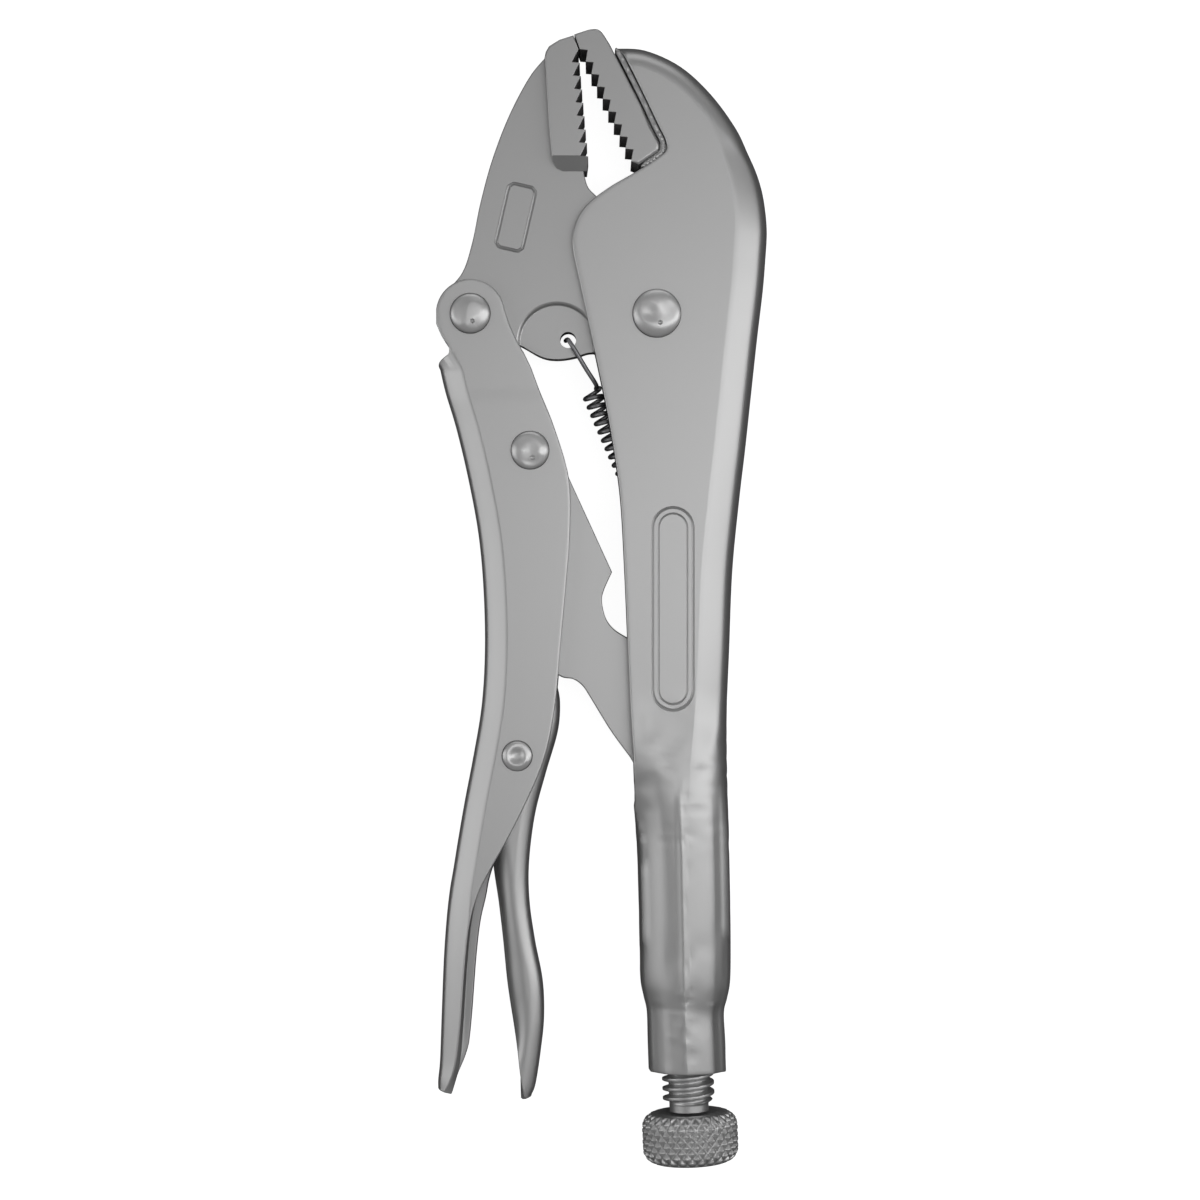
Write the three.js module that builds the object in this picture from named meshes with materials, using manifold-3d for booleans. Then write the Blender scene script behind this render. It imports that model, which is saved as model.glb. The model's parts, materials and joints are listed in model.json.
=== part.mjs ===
// Locking pliers: a folded steel handle that carries a fixed jaw and an adjusting screw, and
// a movable jaw, lever and toggle link that lock over centre. Millimetres.
// The tool lies flat. +Y points to the jaw tips, +X to the fixed handle, +Z through the thickness.
import * as THREE from "three";
import { mergeVertices } from "three/addons/utils/BufferGeometryUtils.js";
import Module from "manifold-3d";

const wasm = await Module();
wasm.setup();

// Driving dimensions
const MID_HEIGHT = 10.5; // middle plane above the surface that the tool lies on
const CENTRE_X = 0.19; // middle of the tool's width in the drawing frame
const CENTRE_Y = -0.215; // middle of the tool's length in the drawing frame
const GAP = 0.3; // clearance between neighbouring pieces
const HANDLE_HALF = 7.0; // half the thickness over the handle's two walls
const HANDLE_SHEET = 2.45;
const TUBE_HALF = 8.9;
const COLLAR_HALF = 8.6;
const LEVER_BEND = 5.0; // outer bend radius of the lever's spine
const RELEASE_HALF = 4.2;
const RELEASE_SHEET = 1.7;
const RELEASE_BEND = 2.9;
const JAW_BODY_HALF = 4.25;
const JAW_BLOCK_HALF = 7.5;
const TANG_HALF = 4.2;
const WELD_PROUD = 0.2; // how far the weld stands over the handle's wall
const LINK_HALF = 3.0;
const NOSE_RADIUS = 4.6; // of the link's end that bears on the screw's tip
const RECESS_DEPTH = 1.4;
const RECESS_RADIUS = 8.3;
const TOOTH_DEPTH = 1.7;
const TOOTH_LEAN = 0.15; // how far a notch's root leans off its level flank
const BLOCK_FOOT = 92.7; // where the movable jaw's block meets its body
const BLOCK_SLOPE = 3.2; // length of the sloping foot under that block
const PEG_RADIUS = 1.3;
const ROUND_SIDES = 24;
const THROUGH = 20; // half the length of a cutter that goes right through

// Pivots and other centres
const JAW_PIVOT = new THREE.Vector2(12.0, 61.7);
const LEVER_PIVOT = new THREE.Vector2(-28.5, 61.7);
const TOGGLE_PIVOT = new THREE.Vector2(-15.5, 32.0);
const RELEASE_PIVOT = new THREE.Vector2(-18.3, -34.3);
const LINK_NOSE = new THREE.Vector2(16.6, -44.0);
const SPRING_HOLE = new THREE.Vector2(-7.3, 56.3);
const SPRING_HOLE_RADIUS = 1.75;
const SPRING_PEG = new THREE.Vector2(8.9, 17.2);
const RECESS_CENTRE = new THREE.Vector2(-9.7, 55.7);

// Rivets: head radius, how far the head stands proud, shank radius
const RIVETS = {
  jaw_rivet: { at: JAW_PIVOT, head: 5.15, dome: 1.8, shank: 3.6 },
  lever_rivet: { at: LEVER_PIVOT, head: 4.25, dome: 1.7, shank: 3.0 },
  toggle_rivet: { at: TOGGLE_PIVOT, head: 4.05, dome: 1.6, shank: 2.8 },
  release_rivet: { at: RELEASE_PIVOT, head: 3.2, dome: 1.1, shank: 2.1 },
};

// Screw: its axis leans a little from -Y, and distances along it start at the link's nose
const SCREW_LEAN = Math.atan(0.0386);
const SCREW_RADIUS = 5.7;
const SCREW_TIP_RADIUS = 4.2;
const SCREW_TIP_START = 7.1;
const SCREW_ROD_START = 13.0;
const KNOB_START = 68.7;
const KNOB_HEIGHT = 10.9;
const KNOB_RADIUS = 10.5;
const KNOB_ROUND = 3.0;

const SPRING_WIRE = 0.5;
const SPRING_RADIUS = 1.95;
const SPRING_TURNS = 12;
const TURN_STEPS = 8; // points on the wire's path in each turn

const STEEL = { color: 0x9a9b9b, roughness: 0.38, metalness: 0.9 };
const FORGED = { color: 0x8f9090, roughness: 0.45, metalness: 0.85 };
const BRIGHT = { color: 0xb4b5b6, roughness: 0.28, metalness: 0.95 };
const WIRE = { color: 0x6d6e70, roughness: 0.4, metalness: 0.9 };

const point = (x, y) => new THREE.Vector2(x, y);
const smooth = (from, to, x) => THREE.MathUtils.smoothstep((x - from) / (to - from), 0, 1);

// One named mesh, with its own material
function piece(name, geometry, finish) {
  const mesh = new THREE.Mesh(geometry, new THREE.MeshStandardMaterial(finish));
  mesh.name = name;
  return mesh;
}

function toSolid(geometry) {
  const bare = geometry.clone();
  bare.deleteAttribute("normal");
  bare.deleteAttribute("uv");
  const merged = mergeVertices(bare, 1e-4);
  return new wasm.Manifold(
    new wasm.Mesh({
      numProp: 3,
      vertProperties: merged.attributes.position.array,
      triVerts: new Uint32Array(merged.index.array),
    }),
  );
}

function toGeometry(solid) {
  const mesh = solid.getMesh();
  const geometry = new THREE.BufferGeometry();
  geometry.setAttribute("position", new THREE.BufferAttribute(mesh.vertProperties, 3));
  geometry.setIndex(new THREE.BufferAttribute(mesh.triVerts, 1));
  return geometry;
}

function cut(geometry, ...tools) {
  return toGeometry(tools.reduce((solid, tool) => solid.subtract(toSolid(tool)), toSolid(geometry)));
}

function join(geometry, ...others) {
  return toGeometry(others.reduce((solid, other) => solid.add(toSolid(other)), toSolid(geometry)));
}

// A flat plate of the given outline between two heights
function plate(outline, low, high) {
  const geometry = new THREE.ExtrudeGeometry(new THREE.Shape(outline), {
    depth: high - low,
    bevelEnabled: false,
    curveSegments: 12,
  });
  return geometry.translate(0, 0, low);
}

// An upright round bar about a centre
function bar(centre, radius, low, high, sides = ROUND_SIDES) {
  const geometry = new THREE.CylinderGeometry(radius, radius, high - low, sides);
  return geometry.rotateX(Math.PI / 2).translate(centre.x, centre.y, (low + high) / 2);
}

function rivetHole(rivet) {
  return bar(rivet.at, rivet.shank + GAP, -THROUGH, THROUGH);
}

// Points of an arc about a centre, angles in degrees
function arc(centre, radius, from, to, steps) {
  return Array.from({ length: steps + 1 }, (_, i) => {
    const angle = THREE.MathUtils.degToRad(from + ((to - from) * i) / steps);
    return point(centre.x + radius * Math.cos(angle), centre.y + radius * Math.sin(angle));
  });
}

// Half of a folded sheet's cross-section, from the middle of its spine to its free edge.
// Each entry holds the distance from the spine, the height, and the inward normal.
// The bend comes first, then the flat wall, and last a stretch that curls in by the closing angle.
const BEND_STEPS = 5;
const WALL_STEPS = 2;
const CURL_STEPS = 4; // only where the walls roll in
const BEND_SHARE = 0.85; // the most of a narrow section that its bend takes up
const EDGE_SHARE = 0.35; // the part of the wall beyond the bend that can curl

function halfSection(width, { half, bend, closing, curlSteps }) {
  const web = half - bend;
  const turn = Math.acos(1 - Math.min((BEND_SHARE * width) / bend, 1));
  const rows = [];
  for (let k = 0; k <= BEND_STEPS; k++) {
    const a = (turn * k) / BEND_STEPS;
    rows.push([bend * (1 - Math.cos(a)), web + bend * Math.sin(a), Math.cos(a), -Math.sin(a)]);
  }
  const [startD, startZ] = rows[BEND_STEPS];
  const rest = width - startD;
  const curled = THREE.MathUtils.lerp(EDGE_SHARE * rest, half, Math.min(closing * 2, 1));
  const curl = Math.min(curled, rest - 0.2);
  const slope = Math.cos(turn) / Math.sin(turn);
  for (let k = 1; k <= WALL_STEPS; k++) {
    const d = ((rest - curl) * k) / WALL_STEPS;
    rows.push([startD + d, startZ + d * slope, Math.cos(turn), -Math.sin(turn)]);
  }
  for (let k = 1; k <= curlSteps; k++) {
    const share = k / curlSteps;
    const a = share * closing;
    const along = closing > 0.01 ? Math.sin(a) / Math.sin(closing) : share;
    const d = startD + rest - curl + curl * along;
    if (closing > 0.01) {
      const tangentD = (curl * Math.cos(a)) / Math.sin(closing);
      const tangentZ = -half * Math.sin(a);
      const size = Math.hypot(tangentD, tangentZ);
      rows.push([d, half * Math.cos(a), tangentZ / size, -tangentD / size]);
    } else {
      rows.push([d, startZ + (d - startD) * slope, Math.cos(turn), -Math.sin(turn)]);
    }
  }
  return rows;
}

// A folded sheet as one closed solid. Every row has the same columns of outer and inner
// points, or null where the sheet is absent.
function sheetSolid(rows) {
  const positions = [];
  const index = [];
  const [lastRow, lastColumn] = [rows.length - 1, rows[0].length - 1];
  const inside = (i, j) => i >= 0 && j >= 0 && i < lastRow && j < lastColumn;
  const whole = (i, j) => rows[i][j] && rows[i + 1][j] && rows[i][j + 1] && rows[i + 1][j + 1];
  const kept = (i, j) => inside(i, j) && whole(i, j);
  const ids = rows.map((row) =>
    row.map((entry) => {
      if (!entry) return null;
      positions.push(...entry.outer.toArray(), ...entry.inner.toArray());
      const first = positions.length / 3 - 2;
      return [first, first + 1];
    }),
  );
  const quad = (a, b, c, d) => index.push(a, b, c, a, c, d);
  for (let i = 0; i < lastRow; i++) {
    for (let j = 0; j < lastColumn; j++) {
      if (!kept(i, j)) continue;
      const [a, b, c, d] = [ids[i][j], ids[i + 1][j], ids[i + 1][j + 1], ids[i][j + 1]];
      quad(a[0], b[0], c[0], d[0]);
      quad(d[1], c[1], b[1], a[1]);
      if (!kept(i, j - 1)) quad(a[1], b[1], b[0], a[0]);
      if (!kept(i + 1, j)) quad(b[1], c[1], c[0], b[0]);
      if (!kept(i, j + 1)) quad(c[1], d[1], d[0], c[0]);
      if (!kept(i - 1, j)) quad(d[1], a[1], a[0], d[0]);
    }
  }
  const geometry = new THREE.BufferGeometry();
  geometry.setAttribute("position", new THREE.Float32BufferAttribute(positions, 3));
  geometry.setIndex(index);
  return toGeometry(toSolid(geometry));
}

// The columns of one row: the section set up on the line from a spine point to an edge point.
// The back wall may reach further than the front one.
function sheetRow(spine, edge, shape) {
  const across = edge.clone().sub(spine);
  const width = across.length();
  across.normalize();
  const front = halfSection(width, shape);
  const rear = halfSection(width + shape.backExtra, shape);
  const place = ([d, z, nd, nz], side) => {
    const at = (dist, height) =>
      new THREE.Vector3(spine.x + across.x * dist, spine.y + across.y * dist, side * height);
    return { outer: at(d, z), inner: at(d + nd * shape.sheet, z + nz * shape.sheet) };
  };
  const hasWeb = shape.half - shape.bend > 0.01;
  const back = rear.slice(hasWeb ? 0 : 1).reverse().map((entry) => place(entry, -1));
  return [...back, ...front.map((entry) => place(entry, 1))];
}

// Spine and edge points at matching stations, joined by smooth curves
function stationRows(stations, perStation, shapeAt, flip = false) {
  const spine = new THREE.SplineCurve(stations.map(([x, y]) => point(x, y)));
  const edge = new THREE.SplineCurve(stations.map(([, , x, y]) => point(x, y)));
  const count = (stations.length - 1) * perStation;
  const rows = [];
  for (let i = 0; i <= count; i++) {
    const at = spine.getPoint(i / count);
    const row = sheetRow(at, edge.getPoint(i / count), shapeAt(at.y));
    rows.push(flip ? row.reverse() : row);
  }
  return rows;
}

// Fixed handle: spine x, y and free edge x, y, from the nose down to the collar
const HANDLE_STATIONS = [
  [3.0, 119.9, 5.2, 117.8],
  [9.5, 119.5, 7.0, 113.8],
  [17.2, 116.0, 9.8, 107.9],
  [23.8, 110.0, 12.4, 102.4],
  [29.3, 102.6, 14.0, 99.0],
  [32.0, 97.2, 13.8, 96.7],
  [34.0, 92.8, 10.5, 94.2],
  [35.3, 88.5, 6.2, 91.6],
  [36.0, 84.0, 1.4, 88.8],
  [36.3, 80.6, -3.2, 85.2],
  [36.2, 78.0, -5.6, 81.4],
  [36.0, 75.0, -6.3, 76.6],
  [35.4, 67.5, -4.6, 68.0],
  [34.1, 56.5, -2.2, 57.0],
  [32.8, 44.5, 0.4, 44.7],
  [31.5, 32.4, 2.6, 32.5],
  [30.2, 21.4, 4.1, 21.5],
  [28.7, 6.0, 5.0, 6.0],
  [28.0, -11.5, 5.75, -11.3],
  [27.5, -24.0, 6.3, -24.0],
  [27.5, -34.0, 6.9, -34.0],
  [27.6, -39.0, 7.0, -39.0],
  [27.7, -44.0, 7.1, -44.0],
  [27.9, -50.0, 7.3, -50.0],
  [28.0, -56.0, 7.5, -56.0],
  [28.2, -66.3, 7.8, -66.3],
  [28.3, -76.0, 8.0, -76.0],
  [28.2, -83.5, 8.2, -83.5],
  [27.6, -87.3, 8.9, -87.3],
  [26.8, -90.6, 9.6, -90.6],
  [27.1, -97.0, 9.8, -97.0],
  [27.3, -103.4, 10.0, -103.4],
];
const TUBE_FROM = -20; // where the walls start to roll in
const TUBE_TO = -46; // where the section is round
const CURL_FROM = -34;
const CURL_TO = -52;
const CLOSED = THREE.MathUtils.degToRad(88);
const COLLAR_FROM = -84; // where the tube necks down to the collar
const COLLAR_TO = -90;

function handleShape(y) {
  const round = smooth(TUBE_FROM, TUBE_TO, y);
  const collar = smooth(COLLAR_FROM, COLLAR_TO, y);
  const tube = THREE.MathUtils.lerp(HANDLE_HALF, TUBE_HALF, round);
  const half = THREE.MathUtils.lerp(tube, COLLAR_HALF, collar);
  const closing = CLOSED * THREE.MathUtils.clamp((y - CURL_FROM) / (CURL_TO - CURL_FROM), 0, 1);
  return { half, bend: half, closing, curlSteps: CURL_STEPS, sheet: HANDLE_SHEET, backExtra: 0 };
}

function fixedHandle() {
  const sheet = sheetSolid(stationRows(HANDLE_STATIONS, 1, handleShape, true));
  const wall = HANDLE_HALF - HANDLE_SHEET;
  const peg = bar(SPRING_PEG, PEG_RADIUS, -wall - 1, 1.2, 12);
  return join(cut(sheet, rivetHole(RIVETS.jaw_rivet)), peg);
}

// Teeth between two points. Each notch has one level flank and one slanted flank.
function teeth(from, to, count, inward, levelFirst) {
  const points = [from];
  for (let i = 0; i < count; i++) {
    const crest = from.clone().lerp(to, i / count);
    const next = from.clone().lerp(to, (i + 1) / count);
    const root = (levelFirst ? crest : next).clone();
    root.x += inward * TOOTH_DEPTH;
    root.y += levelFirst ? -TOOTH_LEAN : TOOTH_LEAN;
    points.push(root, next);
  }
  return points;
}

function fixedJaw() {
  const crown = new THREE.SplineCurve([
    point(-2.9, 123.2),
    point(-1.2, 123.4),
    point(0.1, 122.6),
    point(1.8, 120),
  ]);
  const block = [
    point(-5.9, 122.2),
    ...crown.getPoints(6),
    point(5.1, 113.5),
    point(8.4, 107),
    point(10.5, 102),
    point(12.5, 98.3),
    point(12.3, 96.7),
    point(8.1, 93.9),
    ...teeth(point(-4.7, 118.9), point(6.4, 94.6), 9, 1, true).reverse(),
  ];
  const tang = [
    point(0.5, 116),
    point(5.5, 111.5),
    point(11, 110),
    point(18, 105),
    point(22.5, 98),
    point(23.5, 92.5),
    point(16, 92.5),
    point(8, 100),
  ];
  return join(plate(block, -JAW_BLOCK_HALF, JAW_BLOCK_HALF), plate(tang, -TANG_HALF, TANG_HALF));
}

// Middle of the weld in the groove between the fixed jaw's block and the handle's edge
const WELD_LINE = [
  point(4.2, 117.3),
  point(6.2, 113.4),
  point(9.3, 107.15),
  point(11.6, 102.25),
  point(12.95, 99.6),
  point(13.2, 98.2),
  point(12.95, 96.8),
  point(11.55, 95.6),
  point(10.2, 94.65),
  point(8.6, 93.55),
];
const WELD_HALF = 0.24; // half the weld's width

function jawWeld(side) {
  const edge = (sign) =>
    WELD_LINE.map((p, i) => {
      const before = WELD_LINE[Math.max(i - 1, 0)];
      const after = WELD_LINE[Math.min(i + 1, WELD_LINE.length - 1)];
      const along = after.clone().sub(before).normalize();
      return point(p.x - sign * WELD_HALF * along.y, p.y + sign * WELD_HALF * along.x);
    });
  const outline = [...edge(1), ...edge(-1).reverse()];
  const [low, high] = [TANG_HALF + GAP, HANDLE_HALF + WELD_PROUD];
  return side > 0 ? plate(outline, low, high) : plate(outline, -high, -low);
}

// What the sloping foot of the movable jaw's block leaves out, on one side
function footSlope(side) {
  const shape = new THREE.Shape([
    point(BLOCK_FOOT, JAW_BODY_HALF),
    point(BLOCK_FOOT + BLOCK_SLOPE, JAW_BLOCK_HALF + 0.05),
    point(BLOCK_FOOT + BLOCK_SLOPE, 12),
    point(BLOCK_FOOT - 4, 12),
    point(BLOCK_FOOT - 4, JAW_BODY_HALF),
  ]);
  // The shape is drawn as (y, z), and its depth runs along +X
  const wedge = new THREE.ExtrudeGeometry(shape, { depth: THROUGH, bevelEnabled: false });
  wedge.applyMatrix4(new THREE.Matrix4().set(0, 0, 1, -16, 1, 0, 0, 0, 0, 1, 0, 0, 0, 0, 0, 1));
  return side > 0 ? wedge : wedge.rotateY(Math.PI).translate(-12, 0, 0);
}

function movableJaw() {
  const block = [
    point(-6.3, 121.9),
    point(-9.2, 121.0),
    point(-11.4, 119.6),
    point(-12.4, 117),
    point(-11.9, 109),
    point(-11.4, 101.5),
    point(-10.9, 96.4),
    point(-10.0, 93.9),
    point(-8.4, 92.9),
    point(-3.2, 92.9),
    ...teeth(point(-5.2, 118.9), point(-2.9, 95.7), 8, -1, false).reverse(),
  ];
  const back = new THREE.SplineCurve([
    point(-12.0, 118.0),
    point(-15.7, 113.5),
    point(-20.1, 105.2),
    point(-23.8, 95.6),
    point(-26.4, 86.1),
    point(-28.2, 77.4),
    point(-30.4, 70.8),
    point(-34.2, 66.6),
  ]);
  const belly = new THREE.SplineCurve([
    point(-23.6, 57.6),
    point(-17.8, 55.2),
    point(-13.2, 52.7),
    point(-9.7, 52.1),
    point(-5.8, 52.6),
    point(-2.1, 53.6),
    point(4.0, 52.9),
  ]);
  const throat = new THREE.SplineCurve([
    point(2.0, 84.0),
    point(-0.9, 87.3),
    point(-3.0, 89.6),
    point(-3.9, 93.0),
  ]);
  const body = [
    ...back.getPoints(20),
    ...arc(LEVER_PIVOT, 7.0, 155, 300, 8),
    ...belly.getPoints(14),
    ...arc(JAW_PIVOT, 11.6, 235, 440, 12),
    ...throat.getPoints(6),
    point(-4.6, 100),
    point(-8.0, 118),
  ];
  const web = JAW_BODY_HALF - RECESS_DEPTH;
  const cutters = [
    bar(RECESS_CENTRE, RECESS_RADIUS, web, THROUGH, 48),
    bar(RECESS_CENTRE, RECESS_RADIUS, -THROUGH, -web, 48),
    bar(SPRING_HOLE, SPRING_HOLE_RADIUS, -THROUGH, THROUGH, 20),
    rivetHole(RIVETS.jaw_rivet),
    rivetHole(RIVETS.lever_rivet),
  ];
  const blank = cut(plate(body, -JAW_BODY_HALF, JAW_BODY_HALF), ...cutters);
  const head = cut(plate(block, -JAW_BLOCK_HALF, JAW_BLOCK_HALF), footSlope(1), footSlope(-1));
  return join(blank, head);
}

// Lever: spine x, y and free edge x, y, from the notch below the ears to the tail
const LEVER_STATIONS = [
  [-35.4, 50.4, -15.5, 50.5],
  [-34.1, 44.8, -13.4, 44.8],
  [-31.7, 36.8, -10.2, 36.8],
  [-29.1, 25.8, -7.1, 25.8],
  [-26.9, 13.8, -6.9, 13.8],
  [-25.8, 1.7, -7.8, 1.7],
  [-25.5, -11.5, -9.0, -11.5],
  [-26.2, -23.5, -10.1, -23.5],
  [-28.0, -34.5, -12.3, -34.5],
  [-29.9, -44.4, -16.4, -44.4],
  [-31.3, -52.5, -20.5, -52.5],
  [-32.4, -59.3, -24.3, -59.3],
  [-33.2, -64.1, -26.7, -64.1],
  [-33.9, -70.5, -28.6, -70.5],
  [-34.5, -79.4, -29.7, -79.4],
  [-35.0, -92.6, -30.7, -92.6],
  [-35.3, -101.0, -31.7, -101.0],
  [-35.7, -105.2, -33.0, -105.2],
  [-35.7, -106.9, -34.1, -107.4],
];
// Heights and sides of the ears, above the notch
const EAR_RADIUS = 7.5;
const EAR_LOW = [
  [-35.9, 59.5, -20.1, 59.5],
  [-34.6, 56.6, -18.9, 56.6],
  [-33.1, 54.4, -17.8, 54.4],
  [-32.9, 52.9, -16.9, 52.9],
];
const EAR_ANGLES = [84, 72, 60, 48, 36, 22, 8];

function earRows(columns, firstKept) {
  const high = EAR_ANGLES.map((angle) => {
    const a = THREE.MathUtils.degToRad(angle);
    const [dx, y] = [EAR_RADIUS * Math.cos(a), LEVER_PIVOT.y + EAR_RADIUS * Math.sin(a)];
    return [LEVER_PIVOT.x - dx, y, LEVER_PIVOT.x + dx, y];
  });
  return [...high, ...EAR_LOW].map(([leftX, leftY, rightX, rightY]) => {
    const half = Array.from({ length: columns }, (_, k) => {
      if (k < firstKept) return null;
      const share = (k - firstKept) / (columns - 1 - firstKept);
      return point(THREE.MathUtils.lerp(leftX, rightX, share), THREE.MathUtils.lerp(leftY, rightY, share));
    });
    const place = (p, side) =>
      p && {
        outer: new THREE.Vector3(p.x, p.y, side * HANDLE_HALF),
        inner: new THREE.Vector3(p.x, p.y, side * (HANDLE_HALF - HANDLE_SHEET)),
      };
    return [...half.slice().reverse().map((p) => place(p, -1)), ...half.map((p) => place(p, 1))];
  });
}

// The back wall of the tail is wider than the front one
const TAIL_EXTRA = 2.0;

function leverShape(y) {
  const backExtra = TAIL_EXTRA * smooth(-56, -68, y) * smooth(-106, -97, y);
  return { half: HANDLE_HALF, bend: LEVER_BEND, closing: 0, curlSteps: 1, sheet: HANDLE_SHEET, backExtra };
}

function lever() {
  const channel = stationRows(LEVER_STATIONS, 1, leverShape);
  const columns = channel[0].length / 2;
  const rows = [...earRows(columns, BEND_STEPS - 1), ...channel];
  const holes = [RIVETS.lever_rivet, RIVETS.toggle_rivet, RIVETS.release_rivet].map(rivetHole);
  return cut(sheetSolid(rows), ...holes);
}

function toggleLink() {
  const notch = new THREE.SplineCurve([
    point(2.3, 5.6),
    point(0.55, 1.7),
    point(0.1, -0.9),
    point(1.0, -4.6),
    point(2.9, -7.0),
    point(5.8, -8.8),
  ]);
  const hump = new THREE.SplineCurve([
    point(6.2, -34.8),
    point(1.9, -28.9),
    point(-2.5, -21.7),
    point(-4.2, -19.2),
    point(-6.2, -17.8),
    point(-9.1, -17.1),
    point(-12.4, -13.5),
    point(-16.2, 2),
    point(-20.3, 26),
  ]);
  const outline = [
    ...notch.getPoints(12),
    point(13, -13),
    point(18.5, -22),
    point(21.0, -34),
    ...arc(LINK_NOSE, NOSE_RADIUS, 10, -170, 10),
    ...hump.getPoints(16),
    ...arc(TOGGLE_PIVOT, 5.2, 190, 25, 12),
    point(-6.9, 25.7),
    point(-2.5, 16.1),
  ];
  return cut(plate(outline, -LINK_HALF, LINK_HALF), rivetHole(RIVETS.toggle_rivet));
}

// Release lever: spine x, y on the grip side and free edge x, y inside the lever
const RELEASE_STATIONS = [
  [-9.8, -18.6, -14.2, -18.6],
  [-9.1, -23.0, -19.4, -23.0],
  [-9.6, -29.4, -22.8, -29.4],
  [-12.2, -38.4, -23.9, -38.4],
  [-14.6, -47.6, -24.5, -47.6],
  [-15.9, -58.0, -24.0, -58.0],
  [-15.8, -66.5, -22.8, -66.5],
  [-14.6, -75.1, -21.8, -75.1],
  [-12.9, -84.0, -20.9, -84.0],
  [-12.6, -92.0, -19.7, -92.0],
  [-13.3, -99.2, -18.5, -99.2],
  [-14.4, -106.3, -17.4, -106.0],
  [-15.3, -109.0, -16.7, -109.4],
];

const RELEASE_CURL = THREE.MathUtils.degToRad(52); // how far its walls roll in along the grip

function releaseShape(y) {
  const closing = RELEASE_CURL * smooth(-44, -60, y) * smooth(-106, -92, y);
  const [half, bend, sheet] = [RELEASE_HALF, RELEASE_BEND, RELEASE_SHEET];
  return { half, bend, closing, curlSteps: CURL_STEPS, sheet, backExtra: 0 };
}

function releaseLever() {
  const rows = stationRows(RELEASE_STATIONS, 1, releaseShape, true);
  return cut(sheetSolid(rows), rivetHole(RIVETS.release_rivet));
}

// A rivet through both walls, with a low dome on each end
function rivet({ at, head, dome, shank }) {
  const seat = HANDLE_HALF + GAP;
  const crown = seat + dome;
  const half = [point(shank, seat), point(head - 0.2, seat), point(head, seat + 0.3 * dome)];
  for (let i = 1; i <= 3; i++) {
    const a = (i / 3) * (Math.PI / 2);
    half.push(point(head * Math.cos(a), seat + 0.3 * dome + 0.7 * dome * Math.sin(a)));
  }
  half[half.length - 1].set(0, crown);
  const lower = half.slice().reverse().map((p) => point(p.x, -p.y));
  const geometry = new THREE.LatheGeometry([...lower, ...half], ROUND_SIDES);
  return geometry.rotateX(Math.PI / 2).translate(at.x, at.y, 0);
}

// Return spring: a straight hook through the jaw's hole, close coils, and a hook on the peg
function returnSpring() {
  const start = new THREE.Vector3(-2.2, 45.2, 0);
  const along = new THREE.Vector3(9.4, -21.8, 0);
  const side = new THREE.Vector3(-along.y, along.x, 0).normalize();
  const points = [
    new THREE.Vector3(SPRING_HOLE.x - 0.3, SPRING_HOLE.y + 0.3, -4.6),
    new THREE.Vector3(SPRING_HOLE.x - 0.3, SPRING_HOLE.y + 0.3, 0),
    new THREE.Vector3(SPRING_HOLE.x, SPRING_HOLE.y, 3.4),
    new THREE.Vector3(SPRING_HOLE.x + 1.2, SPRING_HOLE.y - 1.9, 4.0),
    new THREE.Vector3(-3.6, 50.4, 3.4),
    new THREE.Vector3(-1.5, 47.0, 2.2),
  ];
  const steps = SPRING_TURNS * TURN_STEPS;
  for (let i = 0; i <= steps; i++) {
    const turn = (i / TURN_STEPS) * 2 * Math.PI;
    const coil = start.clone().addScaledVector(along, i / steps);
    coil.addScaledVector(side, SPRING_RADIUS * Math.sin(turn));
    coil.z += SPRING_RADIUS * Math.cos(turn);
    points.push(coil);
  }
  points.push(
    new THREE.Vector3(7.6, 20.6, 1.4),
    new THREE.Vector3(7.9, 19.3, 2.2),
    new THREE.Vector3(8.9, 17.2, 2.3),
    new THREE.Vector3(9.8, 15.0, 2.0),
  );
  const section = new THREE.Shape(arc(point(0, 0), SPRING_WIRE, 0, 288, 4));
  return new THREE.ExtrudeGeometry(section, {
    steps: points.length - 1,
    bevelEnabled: false,
    extrudePath: new THREE.CatmullRomCurve3(points),
  });
}

// A round piece turned about the screw's axis, from a profile of radius and distance along it
function onScrewAxis(profile, sides = ROUND_SIDES) {
  const turned = new THREE.LatheGeometry(profile.map(([r, s]) => point(r, -s)).reverse(), sides);
  return turned.rotateZ(SCREW_LEAN).translate(LINK_NOSE.x, LINK_NOSE.y, 0);
}

function screwTip() {
  const [start, end] = [SCREW_TIP_START, SCREW_ROD_START - GAP];
  const r = SCREW_TIP_RADIUS;
  const crown = [
    [r - 1.4, start],
    [r - 0.5, start + 0.5],
    [r, start + 1.4],
  ];
  return onScrewAxis([[0, start], ...crown, [r, end], [0, end]], 20);
}

function screwRod() {
  const [start, end] = [SCREW_ROD_START, KNOB_START - GAP];
  const r = SCREW_RADIUS;
  const chamfer = [[r - 0.8, start], [r, start + 0.8]];
  const neck = [[r, end - 1.6], [r - 1, end - 1.4], [r - 1, end]];
  return onScrewAxis([[0, start], ...chamfer, ...neck, [0, end]], 28);
}

function knob() {
  const [start, end] = [KNOB_START, KNOB_START + KNOB_HEIGHT];
  const [r, c] = [KNOB_RADIUS, KNOB_ROUND];
  const quarter = [0, 1, 2, 3, 4].map((i) => (i * Math.PI) / 8);
  const near = quarter.map((a) => [r - c + c * Math.sin(a), start + c - c * Math.cos(a)]);
  const far = quarter.map((a) => [r - c + c * Math.cos(a), end - c + c * Math.sin(a)]);
  return onScrewAxis([[0, start], ...near, ...far, [0, end]], 40);
}

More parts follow.
